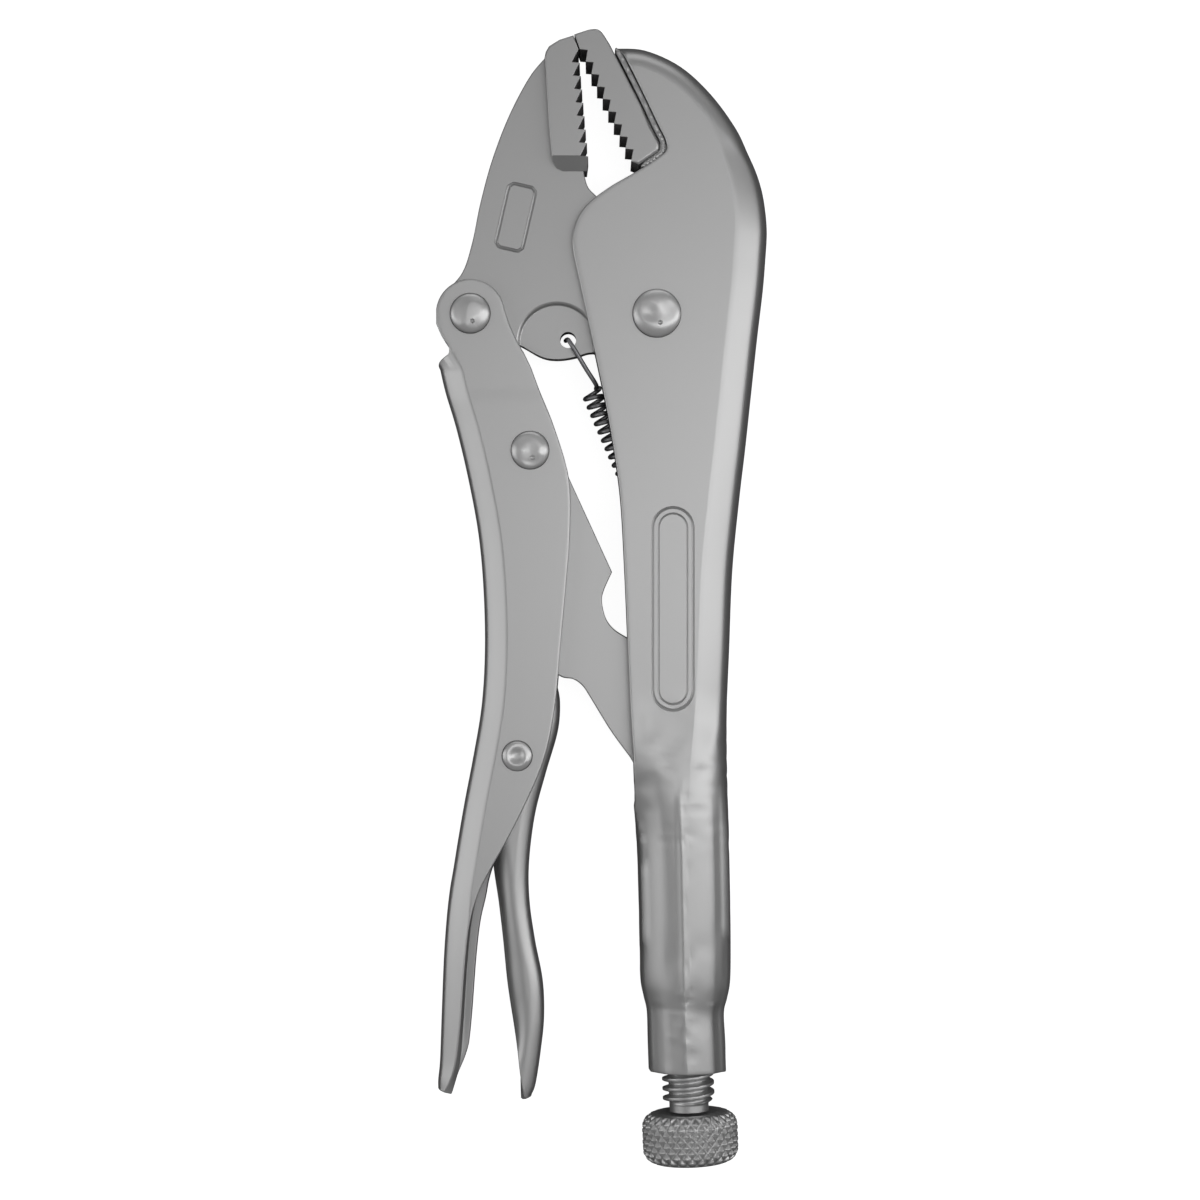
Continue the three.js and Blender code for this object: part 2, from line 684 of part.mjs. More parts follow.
const pliers = new THREE.Group();
pliers.position.set(-CENTRE_X, -CENTRE_Y, MID_HEIGHT);
pliers.add(
  piece("fixed_handle", fixedHandle(), STEEL),
  piece("fixed_jaw", fixedJaw(), FORGED),
  piece("jaw_weld_front", jawWeld(1), STEEL),
  piece("jaw_weld_back", jawWeld(-1), STEEL),
  piece("movable_jaw", movableJaw(), FORGED),
  piece("lever", lever(), STEEL),
  piece("toggle_link", toggleLink(), STEEL),
  piece("release_lever", releaseLever(), STEEL),
  piece("return_spring", returnSpring(), WIRE),
  piece("screw_tip", screwTip(), BRIGHT),
  piece("adjusting_screw", screwRod(), BRIGHT),
  piece("knurled_knob", knob(), BRIGHT),
  ...Object.entries(RIVETS).map(([name, sizes]) => piece(name, rivet(sizes), BRIGHT)),
);

export default pliers;
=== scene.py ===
import json
import math

import bmesh
import bpy
from bpy.props import FloatProperty, FloatVectorProperty, IntProperty, PointerProperty
from mathutils import Matrix, Vector, noise


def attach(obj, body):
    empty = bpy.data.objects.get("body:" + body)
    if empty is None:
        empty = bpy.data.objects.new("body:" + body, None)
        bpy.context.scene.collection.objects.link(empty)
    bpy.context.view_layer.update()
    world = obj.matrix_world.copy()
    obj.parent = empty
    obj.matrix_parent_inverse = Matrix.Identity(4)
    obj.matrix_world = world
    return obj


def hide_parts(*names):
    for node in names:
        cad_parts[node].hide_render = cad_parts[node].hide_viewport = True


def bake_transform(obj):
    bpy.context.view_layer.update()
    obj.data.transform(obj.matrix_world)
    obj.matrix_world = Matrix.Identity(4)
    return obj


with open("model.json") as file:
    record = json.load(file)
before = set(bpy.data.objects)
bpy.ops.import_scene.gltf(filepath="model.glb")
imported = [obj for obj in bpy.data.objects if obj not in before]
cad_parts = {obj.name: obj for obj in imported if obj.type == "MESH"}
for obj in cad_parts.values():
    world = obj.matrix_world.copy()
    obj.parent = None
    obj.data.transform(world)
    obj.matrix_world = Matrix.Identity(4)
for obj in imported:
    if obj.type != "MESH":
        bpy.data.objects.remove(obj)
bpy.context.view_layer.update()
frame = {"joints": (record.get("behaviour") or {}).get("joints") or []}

bl_info = {
    "name": "Locking pliers",
    "version": (1, 0, 0),
    "blender": (4, 5, 0),
    "location": "View3D > Sidebar > Pliers",
    "description": "Builds the finished surfaces of a pair of locking pliers around their frame",
    "category": "Object",
}

# ---------------------------------------------------------------- driving sizes

# Outlines are drawn in millimetres on the tool's middle plane, with +Y towards the jaw tips.
MM = 0.001
JAW_PIVOT = (12.0, 61.7)
LEVER_PIVOT = (-28.5, 61.7)
TOGGLE_PIVOT = (-15.5, 32.0)
RELEASE_PIVOT = (-18.3, -34.3)
LINK_NOSE = (16.6, -44.0)
SPRING_HOLE = (-7.3, 56.3)
SPRING_PEG = (8.9, 17.2)
RECESS_CENTRE = (-9.7, 55.7)

JOINT_AT = {joint["name"]: Vector(joint["pos_m"]) for joint in frame["joints"] if "pos_m" in joint}
DRAWING_ORIGIN = JOINT_AT["jaw_pivot"] - Vector((JAW_PIVOT[0], JAW_PIVOT[1], 0)) * MM

HANDLE_HALF = 7.0  # half the thickness over a folded piece's two walls
SHEET = 2.45
TUBE_HALF = 8.9
COLLAR_HALF = 8.6
LEVER_BEND = 5.0
EAR_RADIUS = 7.47
RELEASE_HALF = 4.2
RELEASE_SHEET = 1.7
RELEASE_BEND = 2.9
JAW_BODY_HALF = 4.25
JAW_BLOCK_HALF = 7.5
TANG_HALF = 4.2
LINK_HALF = 3.0
RECESS_DEPTH = 1.4
RECESS_RADIUS = 8.3
TOOTH_DEPTH = 1.7
BLOCK_FOOT = 92.7
RIM = 0.32  # rounding of a cut sheet's edges

# Rivets: head radius, how far the head stands proud, shank radius
RIVETS = {
    "jaw_rivet": {"at": JAW_PIVOT, "head": 5.15, "dome": 1.8, "shank": 3.6, "body": "fixed_handle"},
    "lever_rivet": {"at": LEVER_PIVOT, "head": 4.25, "dome": 1.7, "shank": 3.0, "body": "lever"},
    "toggle_rivet": {"at": TOGGLE_PIVOT, "head": 4.05, "dome": 1.6, "shank": 2.8, "body": "lever"},
    "release_rivet": {"at": RELEASE_PIVOT, "head": 3.2, "dome": 1.1, "shank": 2.1, "body": "lever"},
}
HOLE_GAP = 0.3  # between a shank and its hole, and under a head

# Distances along the screw's axis, from the toggle link's nose
SCREW_LEAN = math.atan(0.0386)
TIP_START, TIP_RADIUS, TIP_ROUND = 7.1, 4.2, 1.4
ROD_START = 13.0
JOIN_GAP = 0.3  # left between the screw's three pieces
KNOB_START = 68.7


class PliersSizes(bpy.types.PropertyGroup):
    """Sizes of the fine detail, in millimetres unless a name says otherwise"""

    thread_pitch: FloatProperty(
        name="Thread pitch", description="Distance between thread ridges", default=2.1)
    thread_depth: FloatProperty(
        name="Thread depth", description="Depth of the thread's groove", default=1.4)
    screw_radius: FloatProperty(
        name="Screw radius", description="Radius over the thread's ridges", default=5.7)
    knob_radius: FloatProperty(
        name="Knob radius", description="Radius over the knurl's points", default=10.5)
    knob_height: FloatProperty(
        name="Knob height", description="Length of the knob along the screw", default=10.9)
    knob_round: FloatProperty(
        name="Knob rounding", description="Radius of the knob's two rims", default=3.0)
    knurl_count: IntProperty(
        name="Knurl count", description="Diamonds round the knob", default=26, min=8)
    knurl_depth: FloatProperty(
        name="Knurl depth", description="Depth of the knurl's grooves", default=0.85)
    spring_wire: FloatProperty(
        name="Spring wire", description="Radius of the spring's wire", default=0.5)
    spring_radius: FloatProperty(
        name="Spring radius", description="Radius of the coils' middle line", default=1.95)
    spring_turns: IntProperty(
        name="Spring turns", description="Number of coils", default=12, min=2)
    groove: FloatProperty(
        name="Groove", description="Half the width of a stamped line", default=0.36)


class PliersFinish(bpy.types.PropertyGroup):
    """Colours and roughness of the metals"""

    plated: FloatVectorProperty(
        name="Plated steel", description="Satin plating of the folded sheets", subtype="COLOR",
        default=(0.393, 0.393, 0.396), min=0, max=1)
    forged: FloatVectorProperty(
        name="Forged steel", description="Plating of the jaws", subtype="COLOR",
        default=(0.50, 0.50, 0.50), min=0, max=1)
    turned: FloatVectorProperty(
        name="Turned steel", description="Screw, knob and screw tip", subtype="COLOR",
        default=(0.56, 0.56, 0.56), min=0, max=1)
    rivet: FloatVectorProperty(
        name="Rivet steel", description="Rivet heads", subtype="COLOR",
        default=(0.58, 0.58, 0.58), min=0, max=1)
    wire: FloatVectorProperty(
        name="Spring wire", description="Drawn wire of the return spring", subtype="COLOR",
        default=(0.22, 0.22, 0.23), min=0, max=1)
    roughness: FloatProperty(
        name="Roughness", description="Roughness of the satin plating", default=0.38, min=0, max=1)


# ---------------------------------------------------------------- curves and sections


def lerp(a, b, t):
    return a + (b - a) * t


def smooth(low, high, x):
    t = min(max((x - low) / (high - low), 0.0), 1.0)
    return t * t * (3 - 2 * t)


def spline_point(points, t):
    """A point on the smooth curve through all the points, with t from 0 to 1."""
    place = t * (len(points) - 1)
    i = min(int(place), len(points) - 2)
    w = place - i
    around = (points[max(i - 1, 0)], points[i], points[i + 1], points[min(i + 2, len(points) - 1)])
    result = []
    for before, a, b, after in zip(*around):
        leave, arrive = (b - before) / 2, (after - a) / 2
        cubic = (2 * a - 2 * b + leave + arrive) * w ** 3
        square = (-3 * a + 3 * b - 2 * leave - arrive) * w ** 2
        result.append(cubic + square + leave * w + a)
    return tuple(result)


def spline(points, count):
    return [spline_point(points, i / count) for i in range(count + 1)]


def arc(centre, radius, start, end, steps):
    angles = [math.radians(lerp(start, end, i / steps)) for i in range(steps + 1)]
    return [(centre[0] + radius * math.cos(a), centre[1] + radius * math.sin(a)) for a in angles]


def circle(centre, radius, sides=64):
    return arc(centre, radius, 0, 360 * (1 - 1 / sides), sides - 1)


BEND_STEPS, WALL_STEPS, CURL_STEPS = 12, 8, 12
BEND_REACH = 0.85  # a bend takes at most this share of a section's width
WALL_CROWDING = 1.7  # draws a wall's columns towards its bend
OPEN_CURL = 0.35  # share of a wall that has the curl's columns while it is still flat
LEAST_WALL = 0.2
FACET_SHARE = 0.7  # how far the press flattened a bend, from round to its full facet
RIM_ANGLES = (18, 36, 54, 72, 90)
SHEET_MITRE, PLATE_MITRE = 1.2, 0.7  # keep the rounding of sharp corners from shooting out
ROUND_STEPS = 4


def half_section(width, shape):
    """Half of a folded sheet's section, from the middle of its spine to its free edge.

    Each entry holds the distance from the spine, the height, and the inward normal. The bend
    comes first, then the flat wall, and last a stretch that curls in by the closing angle."""
    half, bend, closing = shape["half"], shape["bend"], shape["closing"]
    web = half - bend
    turn = math.acos(1 - min(BEND_REACH * width / bend, 1))
    entries = []
    for k in range(BEND_STEPS + 1):
        a = turn * k / BEND_STEPS
        entries.append((bend * (1 - math.cos(a)), web + bend * math.sin(a), math.cos(a), -math.sin(a)))
    start_d, start_z = entries[-1][:2]
    flat_normal = (math.cos(turn), -math.sin(turn))
    slope = math.cos(turn) / math.sin(turn)
    rest = width - start_d
    curl = min(lerp(OPEN_CURL * rest, half, min(closing * 2, 1)), rest - LEAST_WALL)
    for k in range(1, WALL_STEPS + 1):
        d = (rest - curl) * (k / WALL_STEPS) ** WALL_CROWDING
        entries.append((start_d + d, start_z + d * slope, *flat_normal))
    for k in range(1, CURL_STEPS + 1):
        share = k / CURL_STEPS
        if closing < 0.01:
            d = rest - curl + curl * share
            entries.append((start_d + d, start_z + d * slope, *flat_normal))
            continue
        a = share * closing
        d = start_d + rest - curl + curl * math.sin(a) / math.sin(closing)
        tangent = Vector((curl * math.cos(a) / math.sin(closing), -half * math.sin(a))).normalized()
        entries.append((d, half * math.cos(a), tangent.y, -tangent.x))
    return entries


def sheet_row(spine, edge, shape):
    """One row of (outer, inner) points, from the back edge round the spine to the front edge.

    The back wall may reach further than the front one."""
    along = Vector(edge) - Vector(spine)
    width = along.length
    along /= width
    front = half_section(width, shape)
    rear = half_section(width + shape.get("rear_extra", 0), shape)
    facet_slope = math.tan(shape.get("facet", 0))

    def place(entry, side):
        d, z, normal_d, normal_z = entry
        outer = Vector((spine[0] + along.x * d, spine[1] + along.y * d, side * z))
        inner = outer + Vector((along.x * normal_d, along.y * normal_d, side * normal_z)) * shape["sheet"]
        pressed = min(z, shape["half"] - facet_slope * max(shape["bend"] - d, 0))
        outer.z = side * lerp(z, pressed, FACET_SHARE)
        return outer, inner

    has_web = shape["half"] - shape["bend"] > 0.01
    back = [place(entry, -1) for entry in rear[0 if has_web else 1:]]
    return back[::-1] + [place(entry, 1) for entry in front]


def inset(start, end, distance):
    """The end point drawn back towards the start by a distance."""
    step = Vector(start) - Vector(end)
    return Vector(end) + step.normalized() * distance


def station_rows(stations, per_station, shape_at):
    """Rows at stations of spine x, y and edge x, y, drawn back from the free edges by the rim."""
    rows = []
    for x, y, edge_x, edge_y in spline(stations, (len(stations) - 1) * per_station):
        rows.append(sheet_row((x, y), inset((x, y), (edge_x, edge_y), RIM), shape_at(y)))
    return rows


# ---------------------------------------------------------------- meshes


def add_object(name, data):
    obj = bpy.data.objects.new(name, data)
    bpy.context.scene.collection.objects.link(obj)
    return obj


def mesh_from(name, bm):
    """A mesh of the bmesh, which is freed."""
    data = bpy.data.meshes.new(name)
    bm.to_mesh(data)
    bm.free()
    return data


def object_from(name, bm, recalculate=True):
    """An object in the frame's metres from a bmesh drawn in millimetres."""
    if recalculate:
        bmesh.ops.recalc_face_normals(bm, faces=bm.faces)
    for vertex in bm.verts:
        vertex.co = DRAWING_ORIGIN + vertex.co * MM
    return add_object(name, mesh_from(name, bm))


def join_rings(bm, rings, closed=False):
    """Faces between each ring of points and the next one, and on to the first one where closed."""
    for first, second in zip(rings, rings[1:] + (rings[:1] if closed else [])):
        for i in range(len(first)):
            j = (i + 1) % len(first)
            corners = list(dict.fromkeys([first[i], first[j], second[j], second[i]]))
            if len(corners) > 2:
                bm.faces.new(corners)


def rim_profile(outer, inner, away, radius):
    """Points that round a sheet's edge from its outer face to its inner face."""
    normal = (outer - inner).normalized()
    angles = [math.radians(angle) for angle in RIM_ANGLES]
    points = []
    for centre, side in ((outer - normal * radius, 1), (inner + normal * radius, -1)):
        for a in angles[::side]:
            points.append(centre + normal * (side * radius * math.cos(a)) + away * (radius * math.sin(a)))
    return points


def folded_sheet(name, rows, spine_side, radius=RIM):
    """A closed sheet from rows of (outer, inner) points, or None where it is cut away.

    Every free edge is rounded. The border is kept in the order it is found in, so that each run
    makes the same mesh. The spine's side is 1 where it faces +X and -1 where it faces -X."""
    if spine_side > 0:
        rows = [row[::-1] for row in rows]
    bm = bmesh.new()
    grid = [[entry and (bm.verts.new(entry[0]), bm.verts.new(entry[1])) for entry in row] for row in rows]
    inner_of = {entry[0]: entry[1] for row in grid for entry in row if entry}
    border = {}
    for upper, lower in zip(grid, grid[1:]):
        for j in range(len(upper) - 1):
            corners = [upper[j], lower[j], lower[j + 1], upper[j + 1]]
            if None in corners:
                continue
            outer = [corner[0] for corner in corners]
            bm.faces.new(outer)
            bm.faces.new([inner_of[v] for v in reversed(outer)])
            for edge in zip(outer, outer[1:] + outer[:1]):
                if edge[::-1] in border:
                    del border[edge[::-1]]
                else:
                    border[edge] = True
    after = dict(border.keys())
    before = {end: start for start, end in border}
    rims = {}
    for v, following in after.items():
        normal = v.co - inner_of[v].co
        arriving, leaving = v.co - before[v].co, following.co - v.co
        away = arriving.cross(normal).normalized() + leaving.cross(normal).normalized()
        away *= 2 / max(away.length_squared, SHEET_MITRE)
        points = rim_profile(v.co, inner_of[v].co, away, radius)
        rims[v] = [v, *(bm.verts.new(p) for p in points), inner_of[v]]
    for v, following in after.items():
        here, there = rims[v], rims[following]
        for k in range(len(here) - 1):
            bm.faces.new([there[k], here[k], here[k + 1], there[k + 1]])
    return object_from(name, bm, recalculate=False)


def signed_area(outline):
    pairs = zip(outline, outline[1:] + outline[:1])
    return sum(a[0] * b[1] - b[0] * a[1] for a, b in pairs) / 2


def rounded_plate(name, outline, low, high, radii):
    """A flat plate with rounded rims, whose rounding may differ from corner to corner."""
    if not isinstance(radii, list):
        radii = [radii] * len(outline)
    if signed_area(outline) < 0:
        outline, radii = outline[::-1], radii[::-1]
    points = [Vector(p) for p in outline]
    inward = []
    for before, here, after in zip(points[-1:] + points[:-1], points, points[1:] + points[:1]):
        first, second = (here - before).normalized(), (after - here).normalized()
        total = Vector((-first.y - second.y, first.x + second.x))
        inward.append(total * (2 / max(total.length_squared, PLATE_MITRE)))
    bm = bmesh.new()
    rings = []
    for level, side in ((low, 1), (high, -1)):
        steps = range(ROUND_STEPS + 1)
        for k in steps if side > 0 else reversed(steps):
            a = math.pi / 2 * k / ROUND_STEPS
            ring = []
            for p, direction, r in zip(points, inward, radii):
                at = p + direction * (r * (1 - math.sin(a)))
                ring.append(bm.verts.new((at.x, at.y, level + side * r * (1 - math.cos(a)))))
            rings.append(ring)
    bm.faces.new(rings[0][::-1])
    bm.faces.new(rings[-1])
    join_rings(bm, rings)
    return object_from(name, bm)


def lathe(name, profile, place, sides=64):
    """A solid turned from (radius, height) pairs that start and end on the axis."""
    bm = bmesh.new()
    rings = []
    for radius, height in profile:
        if radius == 0:
            rings.append([bm.verts.new(place(0, 0, height))] * sides)
            continue
        angles = [2 * math.pi * i / sides for i in range(sides)]
        ring = [place(radius * math.cos(a), radius * math.sin(a), height) for a in angles]
        rings.append([bm.verts.new(point) for point in ring])
    join_rings(bm, rings)
    return object_from(name, bm)


def upright(centre):
    return lambda x, y, height: Vector((centre[0] + x, centre[1] + y, height))


def bar(name, centre, radius, low, high, sides=64):
    return lathe(name, [(0, low), (radius, low), (radius, high), (0, high)], upright(centre), sides)


def apply_modifiers(obj):
    """Gives the object the plain mesh that its modifiers make."""
    bpy.context.view_layer.update()
    data = bpy.data.meshes.new_from_object(obj.evaluated_get(bpy.context.evaluated_depsgraph_get()))
    obj.modifiers.clear()
    obj.data = data


def combine(obj, operation, *tools):
    """Joins or cuts with other solids, and removes those."""
    for tool in tools:
        modifier = obj.modifiers.new("combine", "BOOLEAN")
        modifier.operation = operation
        modifier.solver = "EXACT"
        modifier.object = tool
    apply_modifiers(obj)
    for tool in tools:
        bpy.data.objects.remove(tool)


def shade(obj, angle=35):
    """Smooth faces between edges sharper than the angle."""
    obj.data.shade_smooth()
    obj.data.set_sharp_from_angle(angle=math.radians(angle))
    return obj


def soften_tube(obj, below, angle=60):
    """Smooths the faces of the rolled tube below a height across edges up to the angle."""
    bm = bmesh.new()
    bm.from_mesh(obj.data)
    for edge in bm.edges:
        low = max(v.co.y for v in edge.verts) < below
        if low and edge.calc_face_angle(math.pi) < math.radians(angle):
            edge.smooth = True
    bm.to_mesh(obj.data)
    bm.free()


def weight_normals(obj):
    """Normals that follow the large faces, so that flats stay flat beside small roundings."""
    modifier = obj.modifiers.new("normals", "WEIGHTED_NORMAL")
    modifier.keep_sharp = True
    apply_modifiers(obj)


GROOVE_SIDES, GROOVE_SINK = 8, 0.3  # a stamped line's round section, and how far its centre is sunk


def groove_tool(path, height_at, half):
    """A closed ring that cuts a round-bottomed line along a closed path on a face."""
    bm = bmesh.new()
    rings = []
    for i, p in enumerate(path):
        step = (Vector(path[(i + 1) % len(path)]) - Vector(path[i - 1])).normalized()
        side = Vector((step.y, -step.x, 0))
        height = height_at(p[1])
        centre = Vector((p[0], p[1], height - math.copysign(GROOVE_SINK * half, height)))
        ring = []
        for k in range(GROOVE_SIDES):
            a = 2 * math.pi * k / GROOVE_SIDES
            offset = side * (half * math.cos(a))
            ring.append(bm.verts.new(centre + offset + Vector((0, 0, half * math.sin(a)))))
        rings.append(ring)
    join_rings(bm, rings, closed=True)
    return object_from("groove_tool", bm)


def finish_piece(obj, material, node, body):
    """Paints a piece, which takes a node's place on a body. Its slot has the material's name."""
    obj.data.materials.clear()
    obj.data.materials.append(material)
    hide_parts(node)
    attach(obj, body)


# ---------------------------------------------------------------- materials


class Graph:
    """Adds nodes to a tree and joins them."""

    def __init__(self, tree):
        self.tree = tree

    def add(self, kind, settings=None, **inputs):
        node = self.tree.nodes.new(kind)
        for name, value in (settings or {}).items():
            setattr(node, name, value)
        for name, value in inputs.items():
            self.feed(value, node.inputs[name.replace("_", " ")])
        return node

    def feed(self, value, socket):
        if isinstance(value, bpy.types.NodeSocket):
            self.tree.links.new(value, socket)
        elif value is not None:
            socket.default_value = value

    def math(self, operation, *values):
        node = self.tree.nodes.new("ShaderNodeMath")
        node.operation = operation
        for value, socket in zip(values, node.inputs):
            self.feed(value, socket)
        return node.outputs[0]

    def plus(self, a, b):
        return self.math("ADD", a, b)

    def minus(self, a, b):
        return self.math("SUBTRACT", a, b)

    def times(self, a, b):
        return self.math("MULTIPLY", a, b)

    def spread(self, value, low, high, to_low=0.0, to_high=1.0, kind="SMOOTHSTEP"):
        """The value mapped from one range to another, held at the ends."""
        node = self.add("ShaderNodeMapRange", {"interpolation_type": kind})
        for socket, amount in zip(node.inputs, (value, low, high, to_low, to_high)):
            self.feed(amount, socket)
        return node.outputs[0]

    def mix_colour(self, share, first, second):
        node = self.add("ShaderNodeMix", {"data_type": "RGBA"})
        self.feed(share, node.inputs[0])
        self.feed(first, node.inputs[6])
        self.feed(second, node.inputs[7])
        return node.outputs[2]

    def layered(self, base, colour, *layers):
        """The base with layers over it, each given as a mask and a factor of the plain colour."""
        for mask, factor in layers:
            base = self.mix_colour(mask, base, scaled(colour, factor))
        return base

    def noise(self, place, per_metre, detail, low, high, **other):
        """A noise pattern spread from 0 to 1 between two of its values."""
        pattern = self.add("ShaderNodeTexNoise", Vector=place, Scale=per_metre, Detail=detail, **other)
        return self.spread(pattern.outputs["Fac"], low, high)


def group_with(name, inputs, outputs):
    tree = bpy.data.node_groups.new(name, "ShaderNodeTree")
    for label, default in inputs:
        socket = tree.interface.new_socket(label, in_out="INPUT", socket_type="NodeSocketFloat")
        socket.default_value = default
    for label in outputs:
        tree.interface.new_socket(label, in_out="OUTPUT", socket_type="NodeSocketFloat")
    graph = Graph(tree)
    return graph, graph.add("NodeGroupInput").outputs, graph.add("NodeGroupOutput").inputs


def grain_group():
    """Fine satin grain, broad cloudiness and scattered specks, all from 0 to 1."""
    if "satin grain" in bpy.data.node_groups:
        return bpy.data.node_groups["satin grain"]
    inputs = [("Grain per metre", 2600.0), ("Cloud per metre", 90.0), ("Speck per metre", 620.0),
              ("Stretch", 1.0)]
    graph, given, result = group_with("satin grain", inputs, ["Grain", "Cloud", "Speck"])
    place = graph.add("ShaderNodeTexCoord").outputs["Object"]
    squeeze = graph.add("ShaderNodeCombineXYZ", X=1.0, Y=given["Stretch"], Z=1.0).outputs[0]
    stretched = graph.add("ShaderNodeVectorMath", {"operation": "MULTIPLY"})
    graph.feed(place, stretched.inputs[0])
    graph.feed(squeeze, stretched.inputs[1])
    place = stretched.outputs[0]
    graph.feed(graph.noise(place, given["Grain per metre"], 3.0, 0.3, 0.7), result["Grain"])
    graph.feed(graph.noise(place, given["Cloud per metre"], 4.0, 0.37, 0.63), result["Cloud"])
    graph.feed(graph.noise(place, given["Speck per metre"], 2.0, 0.58, 0.68), result["Speck"])
    return graph.tree


def edge_wear_and_shade_group():
    """Masks of rubbed edges, which brighten the colour as partly real rubbing and partly painted highlight,
    and of hollows, which darken it as painted shade, both from 0 to 1.
    """
    if "edge wear" in bpy.data.node_groups:
        return bpy.data.node_groups["edge wear"]
    graph, given, result = group_with("edge wear", [("Breakup per metre", 900.0)], ["Rubbed", "Hollow shade"])
    bend = graph.add("ShaderNodeNewGeometry").outputs["Pointiness"]
    place = graph.add("ShaderNodeTexCoord").outputs["Object"]
    patches = graph.add("ShaderNodeTexNoise", Vector=place, Scale=given["Breakup per metre"], Detail=2.0)
    uneven = graph.spread(patches.outputs["Fac"], 0.35, 0.65, 0.35, 1.0)
    # the rubbed edges are convex places, partly real rubbing and partly painted highlight
    graph.feed(graph.times(graph.spread(bend, 0.51, 0.58), uneven), result["Rubbed"])
    # painted shade in the concave places
    graph.feed(graph.spread(bend, 0.49, 0.42), result["Hollow shade"])
    return graph.tree


def use_group(graph, tree, **values):
    node = graph.add("ShaderNodeGroup", {"node_tree": tree})
    for name, value in values.items():
        node.inputs[name.replace("_", " ")].default_value = value
    return node.outputs


def grey(value):
    return (value, value, value, 1.0)


def scaled(colour, factor):
    return (*(min(channel * factor, 1.0) for channel in colour), 1.0)


SPECK_SHARE, RUBBED_POLISH = 0.5, -0.12  # strength of the specks, and of the shine on rubbed edges


def start_metal(name):
    """A material with a metallic shader, its graph and its shader node."""
    material = bpy.data.materials.new(name)
    material.use_nodes = True
    graph = Graph(material.node_tree)
    shader = material.node_tree.nodes["Principled BSDF"]
    shader.inputs["Metallic"].default_value = 1.0
    return material, graph, shader


def feed_metal(graph, shader, base, rough, rubbed, **relief):
    """Feeds a metal's colour, its roughness, which is lower on rubbed edges, and its fine relief."""
    graph.feed(base, shader.inputs["Base Color"])
    graph.feed(graph.plus(rough, graph.times(rubbed, RUBBED_POLISH)), shader.inputs["Roughness"])
    graph.feed(graph.add("ShaderNodeBump", **relief).outputs[0], shader.inputs["Normal"])


def metal(name, colour, roughness, grain=2600.0, stretch=1.0, bump=0.12, contrast=0.05, hollow_shade=0.55):
    """A metal with grain, cloudiness, rubbed edges that are brightened as partly real rubbing and partly
    painted highlight, and painted shade in its hollows.
    """
    if name in bpy.data.materials:
        return bpy.data.materials[name]
    material, graph, shader = start_metal(name)
    satin = use_group(graph, grain_group(), Grain_per_metre=grain, Stretch=stretch)
    wear_and_shade = use_group(graph, edge_wear_and_shade_group())
    base = graph.mix_colour(satin["Cloud"], scaled(colour, 1 - contrast), scaled(colour, 1 + contrast))
    specks = graph.times(satin["Speck"], SPECK_SHARE)
    # painted shade darkens the hollows, and the rubbed edges are brightened as partly real rubbing and partly
    # painted highlight
    base = graph.layered(base, colour, (specks, 0.8), (wear_and_shade["Hollow shade"], hollow_shade), (wear_and_shade["Rubbed"], 1.28))
    rough = graph.spread(satin["Cloud"], 0, 1, roughness - 0.04, roughness + 0.04, "LINEAR")
    feed_metal(graph, shader, base, rough, wear_and_shade["Rubbed"],
               Height=satin["Grain"], Strength=bump, Distance=0.02 * MM)
    return material


MARKS_START, MARKS_FULL = -0.020, -0.034  # along the handle, in metres, where the press's marks set in
MARKS_EDGE = 0.004  # over which the marks fade at the tool's middle line
DRAWN_SCALE = (420.0, 28.0, 420.0)  # streaks per metre, drawn out along the tube


def plated_sheet():
    """Satin plating, with the press's lengthwise marks and pits on the rolled tube."""
    name = "plated_sheet"
    if name in bpy.data.materials:
        return bpy.data.materials[name]
    finish = bpy.context.scene.pliers_finish
    material, graph, shader = start_metal(name)
    satin = use_group(graph, grain_group())
    wear_and_shade = use_group(graph, edge_wear_and_shade_group())
    place = graph.add("ShaderNodeTexCoord").outputs["Object"]
    axes = graph.add("ShaderNodeSeparateXYZ", Vector=place).outputs
    tube = graph.spread(axes["Y"], MARKS_START, MARKS_FULL)
    pressed = graph.times(tube, graph.spread(axes["X"], 0.0, MARKS_EDGE))
    drawn = graph.add("ShaderNodeMapping", Vector=place, Scale=DRAWN_SCALE).outputs[0]
    streak = graph.noise(drawn, 1.0, 5.0, 0.36, 0.64, Roughness=0.6)
    pit = graph.times(graph.noise(place, 520.0, 3.0, 0.62, 0.72), pressed)
    specks = graph.times(satin["Speck"], SPECK_SHARE)
    dark_streak = graph.times(graph.spread(streak, 0.55, 0.0), pressed)
    base = graph.mix_colour(satin["Cloud"], scaled(finish.plated, 0.87), scaled(finish.plated, 1.13))
    # painted shade darkens the hollows, and the rubbed edges are brightened as partly real rubbing and partly
    # painted highlight
    base = graph.layered(
        base, finish.plated, (specks, 0.82), (graph.times(dark_streak, 0.9), 0.6),
        (graph.times(pit, 0.6), 0.5), (wear_and_shade["Hollow shade"], 0.6), (wear_and_shade["Rubbed"], 1.3))
    rough = graph.spread(satin["Cloud"], 0, 1, finish.roughness - 0.03, finish.roughness + 0.03, "LINEAR")
    rough = graph.plus(rough, graph.times(graph.times(pressed, streak), -0.13))
    marks = graph.minus(graph.times(streak, graph.times(pressed, 2.1)), graph.times(pit, 4.0))
    feed_metal(graph, shader, base, rough, wear_and_shade["Rubbed"],
               Height=graph.plus(satin["Grain"], marks), Strength=0.15, Distance=0.03 * MM)
    return material


def forged_steel():
    finish = bpy.context.scene.pliers_finish
    rough = finish.roughness + 0.02
    return metal("forged_steel", finish.forged, rough, grain=2100.0, bump=0.16, contrast=0.1)


def weld_metal():
    finish = bpy.context.scene.pliers_finish
    # the last value sets the painted shade in hollows, as a share of the colour
    return metal("weld", finish.plated, 0.36, grain=1500.0, bump=0.3, contrast=0.14, hollow_shade=0.4)


